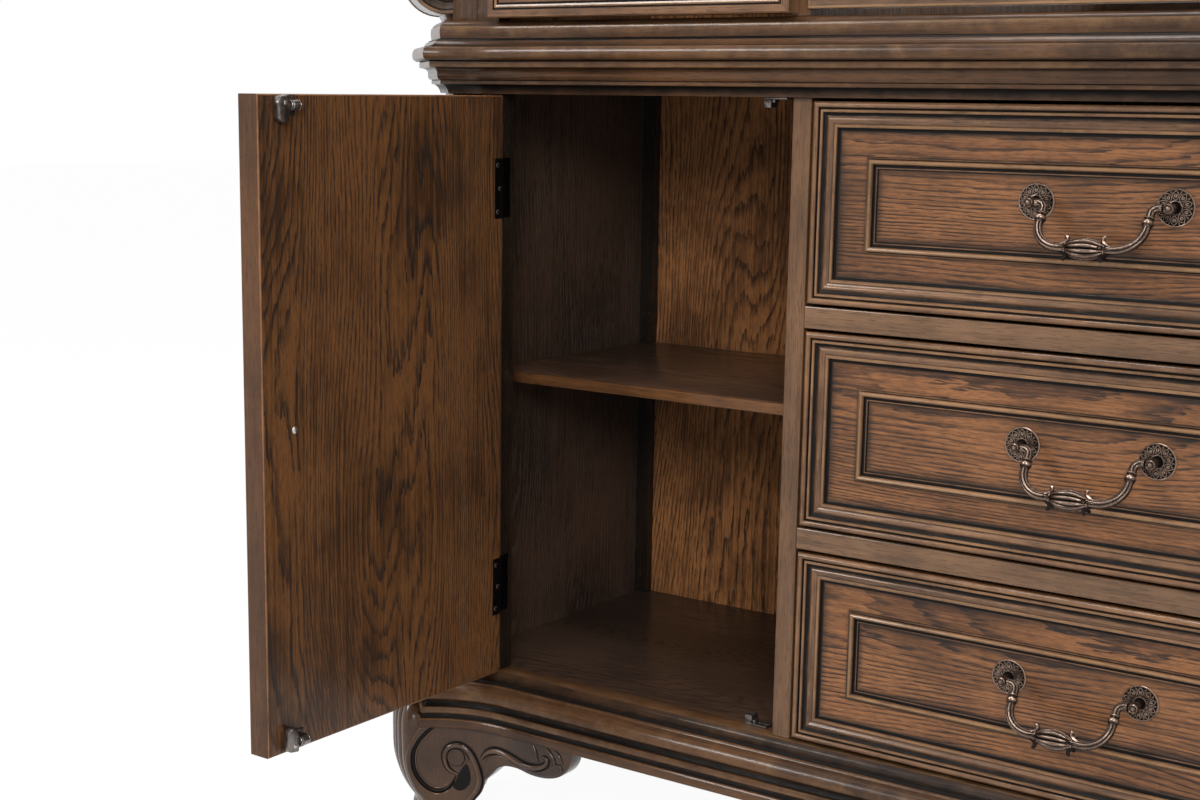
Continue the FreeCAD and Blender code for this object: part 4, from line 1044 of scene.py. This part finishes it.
rear = block("rear_foot", (-699.7, 128, 0), (-641.7, 186, 164), 1.2)
for point in rear.data.vertices:
    if point.co.z < 0.03:
        point.co.x = max(-699.7 * mm, min(point.co.x, -649.7 * mm)) if point.co.x > -0.67 else point.co.x
        point.co.y = max(point.co.y, 136 * mm) if point.co.y < 0.16 else point.co.y
fit(both_sides("rear_feet_dressed", [rear]), (foot_wood,), ("rear_feet",), smooth=30)
leg = block("middle_leg_dressed", (-23, -23, 0), (23, 23, 164), 2)
fit(leg, (foot_wood,), ("middle_leg",), smooth=30)


# ---- side doors of the base ----
# Slab doors veneered with upright oak, framed and beaded like the drawers, hung on black butt
# hinges; each carries a turned bronze knob and two small roller catches.
door_field = oak("door field oak", Z, (0.285, 0.12, 0.047), (0.115, 0.048, 0.02), (0.02, 0.0135, 0.0115),
                 shift=0.71, length=1.1, rings=58, straight=150, strokes=30)
door_back = oak("door back oak", Z, (0.18, 0.075, 0.026), (0.052, 0.0225, 0.009), (0.02, 0.0145, 0.0125),
                shift=0.35, clouds=1.1, length=1.2, rings=60, straight=160, strokes=45)
door_in, door_out, door_face = 290.6, 637.6, -211.8
door_rear = door_face + 19
door = fielded("right_door", door_in, door_out, case_low + 1, case_high - 1.5, door_face, door_rear, 6.8,
               28, 28)
pin_x, pin_y, opened = 638.6, -198.2, math.radians(-91)
hung = (Matrix.Translation(Vector((-pin_x, pin_y, 0)) * mm) @ Matrix.Rotation(opened, 4, "Z")
        @ Matrix.Translation(Vector((pin_x, -pin_y, 0)) * mm))
left_door = moved(twin(door, "left_door"), hung)
for side, piece in (("left", left_door), ("right", door)):
    fit(piece, (level_frame, upright_frame, door_field, door_back, edge_wood),
        (side + "_door_panel", side + "_door_moulding"), side + "_door")

knob_lines = [(0, 0, 0), (10.6, 0, -1), (11, 0.8, 0.3), (10.4, 2.2, 0.8), (8.4, 3, 0), (6.2, 3.6, -1),
              (5.2, 6, -0.4), (5.0, 9, 0), (6.3, 12, -0.6), (7.2, 12.6, 0.5), (7.0, 13.6, 0.2),
              (9.5, 14.6, -0.6), (13.2, 17.4, 0.1), (14.9, 21.8, 0.5), (14.6, 26.5, 0.6), (12.2, 31.4, 0.4),
              (9.0, 34.6, 0.7), (8.4, 34.9, -0.6), (7.6, 35.6, 0.2), (4.2, 37.4, 0.6), (0, 38.4, 0.9)]


def screw(name, place, axis, radius):
    """A countersunk screw head with a cross recess."""
    head = lathe(name, place, axis, [(0, -0.4, 0), (radius, -0.4, -1), (radius, 0.1, 0.4),
                                     (radius * 0.8, 0.35, 0.8), (radius * 0.45, 0.45, 0.6), (0, 0.5, 0.6)],
                 16)
    axis, place = Vector(axis), Vector(place)
    one_way = axis.orthogonal().normalized()
    for way in (one_way, axis.cross(one_way)):
        reach = Vector([abs(c) for c in way]) * radius * 0.62
        thin = Vector([0.22 if abs(c) < 0.5 else 0 for c in way])
        bar = block(name + "_slot", place + axis * 0.42 - reach - thin, place + axis * 0.56 + reach + thin,
                    0.02)
        mark_all(bar, -1)
        end_shaping()
        head = joined(name, [head, bar])
    return head


backwards = (0, 1, 0)
knuckle = 10.2
barrel_line = [(0, -knuckle, 0), (2.3, -knuckle, -0.5), (2.6, 0.3 - knuckle, 0.3)]
barrel_line += [(radius, -along, tone) for radius, along, tone in barrel_line[::-1]]


def door_leaf(z):
    """The door's leaf of one butt hinge, with its screws and the middle knuckle."""
    leaf_in, leaf_out = pin_x - 14, pin_x - 0.4
    pieces = [block("hinge_plate", (leaf_in, door_rear - 1.6, z - 31), (leaf_out, door_rear + 0.5, z + 31),
                    0.25)]
    for step, inset_by in ((-24, 4.6), (0, 8), (24, 4.6)):
        pieces.append(screw("hinge_screw", (leaf_in + inset_by, door_rear + 0.45, z + step), backwards, 2.6))
    pieces.append(lathe("barrel", (pin_x, pin_y, z), (0, 0, 1), barrel_line, 20))
    pieces.append(block("hinge_wrap", (leaf_out - 2, pin_y, z - knuckle),
                        (leaf_out, door_rear + 0.2, z + knuckle), 0.2))
    return pieces


def door_catch(z, up):
    """The door's half of one catch: a roller between two ears on a plate, and its curved arm."""
    middle = z + up * 11.5
    pieces = [block("catch_plate", (321.1, door_rear - 0.1, middle - 9.5),
                    (336.1, door_rear + 1.4, middle + 9.5), 0.4)]
    for x in (322.6, 333.2):
        pieces.append(lathe("catch_ear", (x, -185.5, middle), (1, 0, 0), [
            (0, 0, 0), (4.6, 0, -0.3), (4.9, 0.3, 0.4), (4.9, 1.2, 0.4), (4.6, 1.5, -0.3), (0, 1.5, 0)], 20))
        pieces.append(block("catch_lug", (x, -192, middle - 4.9), (x + 1.5, -185.5, middle + 4.9), 0.2))
    pieces.append(lathe("catch_roller", (324.4, -184.5, middle), (1, 0, 0), [
        (0, 0, 0), (3.4, 0, -0.6), (4.4, 0.7, 0.2), (4.6, 4.2, 0.3), (4.4, 7.9, 0.2), (3.4, 8.6, -0.6),
        (0, 8.6, 0)], 24))
    pieces.append(screw("catch_screw", (328.6, door_rear + 1.4, middle + 6.6 * up), backwards, 1.9))
    arm = [(321.5, 2), (311, 3.5), (307.5, 9), (309, 24), (314, 27), (320.5, 26), (323, 12)]
    pieces.append(slab("catch_arm", [Vector((x, door_rear + 1, z + up * h)) * mm for x, h in arm],
                       Vector((0, 8.5, 0)) * mm, 1.2))
    pieces.append(lathe("catch_rivet", (316.6, -183.6, z + up * 9), backwards, [
        (0, -0.5, 0), (2.3, -0.5, -1), (2.3, 0.3, 0.4), (1.6, 0.8, 0.8), (0, 0.9, 0.8)], 20))
    return pieces


knob_x, knob_z = door_in + 41, 493
right_knob = lathe("right_door_knob_turned", (knob_x, door_face, knob_z), forwards, knob_lines)
metal = [lathe("knob_screw", (knob_x, door_rear - 0.1, knob_z), backwards, [
    (0, -0.4, 0), (3.6, -0.4, 0), (3.6, 0.2, 0.9), (2.9, 1.1, 1.2), (1.6, 1.6, 1.3), (0, 1.8, 1.3)], 20)]
metal += door_leaf(280.0) + door_leaf(705.5)
metal += door_catch(case_low, 1) + door_catch(case_high, -1)
right_metal = joined("right_door_metal", metal)
left_knob = moved(twin(right_knob, "left_door_knob_turned"), hung)
left_metal = moved(twin(right_metal, "left_door_metal"), hung)
blackened = cast("blackened steel", (0.011, 0.0105, 0.0105), (0.024, 0.022, 0.021), (0.34, 0.31, 0.29), 0.4)
burnished = cast("burnished steel", (0.12, 0.105, 0.095), (0.24, 0.21, 0.19), (0.55, 0.5, 0.46), 0.3)
for side, knob, metal in (("left", left_knob, left_metal), ("right", right_knob, right_metal)):
    fit(knob, (bronze,), (side + "_door_knob",), side + "_door", smooth=40)
    # Burnished: the catches at the ends of the door and the knob's screw half way; black: the hinges.
    fit(metal, (blackened, burnished), (side + "_door_fittings",), side + "_door", smooth=35,
        which=lambda face: not 0.24 < face.center.z < 0.75 or 0.4 < face.center.z < 0.6)
dress(("hinge_frame_leaves",), blackened)
catches = []
for z, up in ((case_low, 1), (case_high, -1)):
    for (x0, x1), (y0, y1), (h0, h1), ease in (
            ((312, 338), (-180, -164), (0, 2), 0.5), ((329.5, 337.5), (-179, -166), (1.5, 10), 0.9),
            ((326.5, 330), (-177, -168), (1.5, 5), 0.6), ((331.5, 335.5), (-179.6, -178.6), (4, 8), 0.3)):
        z0, z1 = sorted((z + up * h0, z + up * h1))
        catches.append(block("catch_body", (x0, y0, z0), (x1, y1, z1), ease))
    for x in (316.2, 323):
        catches.append(screw("catch_body_screw", (x, -172, z + up * 2), (0, 0, up), 2.2))
fit(both_sides("base_catches_dressed", catches), (burnished,), ("base_catches",), smooth=35)


# ---- shelves of the cupboards ----
# One veneered shelf in each cupboard on four bronze pegs, its front edge lipped with solid wood
# that is left a little lighter.
lip_wood = stained("shelf lip wood", X, (0.2, 0.085, 0.031), (0.095, 0.041, 0.017), coat=0.25)
shelf_out, shelf_in, shelf_low, shelf_high, shelf_front = -side_in + 1, -bay_out - 1, 488.6, 500.5, -115
boards = [block("shelf", (shelf_out, shelf_front, shelf_low), (shelf_in, boards_back - 1, shelf_high), 0.5),
          block("shelf_lip", (shelf_out, shelf_front - 7, shelf_low),
                (shelf_in, shelf_front - 0.5, shelf_high), 1.6)]
shelf_oak = oak("shelf oak", X, (0.2, 0.105, 0.062), (0.085, 0.045, 0.028), (0.03, 0.02, 0.016), shift=0.9,
                gloss=0.3, coat=0.5, open_pores=0.6)
fit(both_sides("base_shelves_dressed", boards), (shelf_oak, lip_wood), ("base_shelves",),
    smooth=35, which=lambda face: face.center.y < (shelf_front - 0.2) * mm)
dress(("shelf_pins",), bronze)


# ---- hutch ----
# A glazed case on top of the base: two glass doors beside an open bay with a mirrored back,
# glass shelves, scrolled consoles on the canted corners and a deep crown.
crown = section(
    (0, 10, -0.6), (5.6, 10, 0), (6.2, 12, 0.6), (9.6, 14.8, -0.3, -1.0), (13.6, 16, 0.2), (14.2, 18, 0.6),
    (21.6, 20, 0.2, 0.8), (22.4, 20.6, -1), (40, 38, 0, -4.5), (45.6, 43.8, -0.4), (46.2, 47.6, 0.4),
    (47, 48, 0.7), (51.4, 48, 0.3), (52, 47.6, -1), (52.6, 51.6, 0.2), (64, 53.4, 0.5, 0.9),
    (65, 52.6, -0.6), (75, 44.5, 0, -1.2))
hutch_front, top_rail_low = -200, 1962
rail_back = hutch_front + frame_thick
fit(run_moulding("crown", crown, -12, hutch_high), (run_wood,), ("crown_moulding",),
    smooth=32)
fit(post("hutch_corner_posts", hutch_low, hutch_high, hutch_front), (post_wood,),
    ("hutch_posts",), smooth=30)
uprights = [
    block("hutch_divider", (-bay_out, hutch_front, hutch_low), (-bay_in, boards_back, top_rail_low), 1),
    block("hutch_divider_top", (-bay_out, rail_back, top_rail_low - 1),
          (-bay_in, boards_back, hutch_high), 1)]
fit(both_sides("hutch_dividers_dressed", uprights), (divider_wood,), ("hutch_dividers",))
rail = block("hutch_rail", (-stile_in, hutch_front, top_rail_low), (stile_in, rail_back, hutch_high), 1)
pick(rail, "FACE", lambda f: f.normal.y < -0.9 and f.calc_area() > 0.01)
inset(rail, [(0, 0, 0), (10, 0, 0), (10.6, 1.2, 0.6), (12.4, 1.2, 0.3), (13, -1.4, -1), (15, -1.4, -0.8),
             (17, -0.6, 0)])
end_shaping()
low_rail = block("hutch_low_rail", (-bay_in, hutch_front - 5.4, hutch_low + 6.5),
                 (bay_in, hutch_front + 14, hutch_low + 51.5), 0)
mark_all(low_rail, 0.2)
pick(low_rail, "FACE", lambda f: f.normal.y < -0.9)
inset(low_rail, [(0, 0, 0), (0.6, 0.5, 1.2), (1.8, 0.6, 1.0), (2.6, 0.5, 0.1)])
end_shaping()
fit(joined("hutch_rails_dressed", [rail, low_rail]), (rail_wood,), ("hutch_rails",))
deck_front, deck_back = case_front + 10, case_back - 0.2
filling = block("base_top_middle", (-side_in, deck_front, case_high + 33.2),
                (side_in, deck_back, hutch_low - 17.1), 0.2)
fit(filling, (rear_oak,))
deck = block("hutch_deck", (-side_in, deck_front, hutch_low - 17), (side_in, deck_back, hutch_low + 0.25),
             0.2)
fit(deck,
    (oak("hutch floor oak", X, (0.2, 0.098, 0.05), (0.1, 0.047, 0.024), (0.02, 0.014, 0.012)),))


hutch_door_face, hutch_door_low, hutch_door_high = -220.8, hutch_low + 2.5, 1972


def glazed(name):
    """Right door of the hutch: a moulded frame bridged round its opening."""
    piece = block(name, (door_in, hutch_door_face, hutch_door_low),
                  (door_out, hutch_door_face + 20, hutch_door_high), 0)
    mark_all(piece, 0)
    pick(piece, "FACE", lambda f: f.normal.y > 0.9)
    bpy.ops.mesh.inset(thickness=50 * mm, depth=0)
    pick(piece, "FACE", lambda f: f.normal.y < -0.9)
    inset(piece, [(0, -1.2, 0), (1.2, 0, 0.2), (7.6, 0, 0), (8, -1.6, -1), (9.2, -1.6, -1),
                  (9.6, -0.4, 0.5), (11, 0, 0.9), (12.6, -0.4, 0.5), (13, -2, -1), (14, -2, -1),
                  (15, -1, 0), (34, -1, 0), (34.4, -1.2, -1), (36, -1.2, -1), (36.4, 0, 0.8),
                  (38, -0.4, 0.5), (40.5, -1.6, 0.1), (43, -3.6, -0.2), (43.4, -4.4, -1), (45, -4.4, -1),
                  (45.4, -3.4, 0.6), (46.4, -3, 0.9), (48, -3.6, 0.5), (50, -5.4, -0.8)])
    pick(piece, "FACE", lambda f: abs(f.normal.y) > 0.9 and f.calc_area() > 0.2)
    bpy.ops.mesh.bridge_edge_loops()
    end_shaping()
    for face in piece.data.polygons:
        from_side, from_end = to_edges(face, door_in, door_out, hutch_door_low, hutch_door_high)
        face.material_index = int(from_side < from_end)
    return piece


right_frame = glazed("hutch_right_frame")
left_frame = twin(right_frame, "hutch_left_frame")
small_knob = [(radius * 0.75, along * 0.75, tone) for radius, along, tone in knob_lines]
fittings = [lathe("hutch_knob", (door_in + 25, hutch_door_face, 1355), forwards, small_knob)]
leaf_face = hutch_door_face + 20.4
for z in (995, 1422, 1849):
    fittings.append(lathe("hutch_barrel", (pin_x, pin_y - 8, z), (0, 0, 1), barrel_line, 20))
    fittings.append(block("hutch_leaf", (pin_x - 14, leaf_face - 2, z - 31),
                          (pin_x - 0.4, leaf_face, z + 31), 0.25))
    for step in (-22, 0, 22):
        fittings.append(screw("hutch_screw", (pin_x - 9, leaf_face - 0.05, z + step), backwards, 2.4))
right_pull = joined("hutch_right_pull", fittings)
left_pull = twin(right_pull, "hutch_left_pull")
pane = Finish("shelf glass", Base_Color=(0.94, 0.98, 0.965, 1), Transmission_Weight=1.0, IOR=1.45)
pane.set(Roughness=pane.rise(pane.noise((12.0, 12.0, 12.0), 3.0), 0.5, 1.0) * 0.05 + 0.004)
dress(("hutch_shelves",), pane.material)
thin = Finish("door glass", Base_Color=(0.03, 0.04, 0.037, 1), Coat_Weight=1.0, Coat_Roughness=0.02)
facing = thin.node("ShaderNodeLayerWeight", {}, {"Blend": 0.3}, 1)
thin.set(Alpha=facing * 0.35 + 0.06, Roughness=thin.noise((6.0, 6.0, 6.0), 3.0) * 0.04)
dress(("hutch_left_door_glass", "hutch_right_door_glass"), thin.material)
silver = Finish("mirror glass", Metallic=1.0)
haze = silver.noise((6.0, 6.0, 6.0), 3.0)
silver.set(Base_Color=silver.mix(haze, (0.62, 0.65, 0.66), (0.7, 0.73, 0.74)), Roughness=haze * 0.03 + 0.01)
dress(("hutch_mirror",), silver.material)
for side, piece, pull in (("left", left_frame, left_pull), ("right", right_frame, right_pull)):
    body = "hutch_%s_door" % side
    fit(piece, (level_frame, upright_frame), (body + "_frame",), body)
    fit(pull, (bronze,), (body + "_fittings",), body, smooth=40)

console_line = [(36, 915), (35, 935), (30, 953), (23, 975), (14.5, 997), (8.5, 1018), (3, 1048), (0, 1080),
                (-1.5, 1130), (-2, 1300), (-2, 1700), (-1, 1860), (1.5, 1900), (5, 1932), (9.5, 1958),
                (14, 1978), (15, 1990)]
stem = strap("console_stem", console_line, [1] * 7 + [0.97, 0.94, 0.9, 0.88, 0.88, 0.9, 0.93, 0.96, 1, 1],
             36, 4, 2.6, 12)
backing = slab("console_backing", [corner(s, -33, z) for s, z in (
    (-10, hutch_low), (-6, hutch_low), (20, 925), (20, 962), (0, 1010), (-6, 1060), (-6, 1900), (0, 1950),
    (4, hutch_high), (-10, hutch_high))],
    diagonal * 66 * mm, 0.5)
scrolls = [stem, backing]
volute_along, volute_half = -2.4, 42
for number, (z, radius, out) in enumerate(((921, 39, 1), (1985, 20, -1))):
    k = radius / 39
    # The volute's grooves are marked black: painted shade, partly glaze.
    ends = [(r * k, a, tone) for r, a, tone in (
        (0, 0, 0.5), (7, 0.3, 0.3), (8.5, 1.4, -0.4), (9.5, 2.6, -1), (33, 3.0, -0.4), (34.5, 2.4, -1),
        (35.5, 0.4, 0.4), (38, 0.2, 0.7), (39, 1.2, 0.4), (39, 6.2, 0.2), (37, 7.2, -1), (36.6, 8.6, -1),
        (38.2, 9.6, 0.5))]
    turned_line = [(r, a - volute_half, tone) for r, a, tone in ends] + [(38.6 * k, 0, 0.2)]
    turned_line += [(r, volute_half - a, tone) for r, a, tone in ends[::-1]]
    volute = lathe("volute_%d" % number, corner(volute_along, 0, z) / mm, diagonal, turned_line, 48)
    coil = [(7.5 * k + 25.5 * k * a / 600, math.radians(a * out)) for a in range(0, 601, 20)]
    swelling = [0.75 + 0.5 * i / len(coil) for i in range(len(coil))]
    for way in (1, -1):
        side = way * (volute_half - 2.9)
        path = [corner(volute_along - r * math.sin(a), side, z - r * math.cos(a)) for r, a in coil]
        scrolls.append(sweep("coil", path, bead_line(3.4 * k), diagonal * way, swelling))
    scrolls.append(volute)
console = joined("console", scrolls)
start_shaping(console)
for place, way in ((corner(-10, 0, 0), (1, 1, 0)), ((0, 0, hutch_low * mm), (0, 0, -1)),
                   ((0, 0, hutch_high * mm), (0, 0, 1))):
    bpy.ops.mesh.select_all(action="SELECT")
    bpy.ops.mesh.bisect(plane_co=place, plane_no=way, clear_outer=True, use_fill=True)
end_shaping()
fit(both_sides("consoles", [console]), (post_wood,), ("hutch_consoles",), smooth=38)


# ---- studio ----
# A white floor and white surroundings, with three large soft lamps. What the camera, a gloss or
# a glass sees of them is plain white; what they throw on the furniture is less.
select_none()
bpy.ops.mesh.primitive_plane_add(size=30, location=(0, 0, 0))
floor = bpy.context.object
floor.name = "studio_floor"
ground = Finish("studio floor", Base_Color=(0.6, 0.6, 0.6, 1), Roughness=0.9, Specular_IOR_Level=0.1)


def looked_at(finish):
    """1 for rays from the camera, a gloss or a glass, 0 for light that is thrown about."""
    seen = finish.node("ShaderNodeLightPath", output="Is Camera Ray")
    for ray in ("Is Glossy Ray", "Is Transmission Ray"):
        seen = seen.math("MAXIMUM", finish.node("ShaderNodeLightPath", output=ray))
    return seen


glow = ground.node("ShaderNodeEmission", {}, {"Color": (1, 1, 1, 1), "Strength": 1.1})
blend = ground.node("ShaderNodeMixShader", {}, {0: looked_at(ground) * 0.86,
                                                1: Value(ground, ground.shader.outputs[0]), 2: glow})
ground.feed(ground.tree.nodes["Material Output"].inputs[0], blend)
floor.data.materials.append(ground.material)


class Surroundings(Finish):
    """The world's nodes, made as a finish's are."""

    def __init__(self, world):
        world.use_nodes = True
        self.tree = world.node_tree
        self.shader = self.tree.nodes["Background"]


bpy.context.scene.world = bpy.data.worlds.new("studio")
white = Surroundings(bpy.context.scene.world)
white.set(Color=(1, 1, 1, 1), Strength=looked_at(white) * 0.58 + 0.42)


def softbox(name, place, target, size, power):
    """A flat soft lamp that faces its target."""
    lamp = bpy.data.lights.new(name, "AREA")
    lamp.shape = "RECTANGLE"
    lamp.size, lamp.size_y = size
    lamp.energy = power
    holder = bpy.data.objects.new(name, lamp)
    holder.location = place
    holder.rotation_euler = (Vector(target) - Vector(place)).to_track_quat("-Z", "Y").to_euler()
    bpy.context.collection.objects.link(holder)


softbox("key", (-2.6, -3.2, 2.6), (0, -0.2, 0.7), (1.2, 0.9), 75)
softbox("fill", (1.15, -2.8, 1.85), (-0.3, -0.1, 0.85), (0.9, 0.9), 50)
softbox("top", (-0.3, -0.9, 3.4), (-0.2, -0.3, 0.6), (1.9, 0.6), 45)
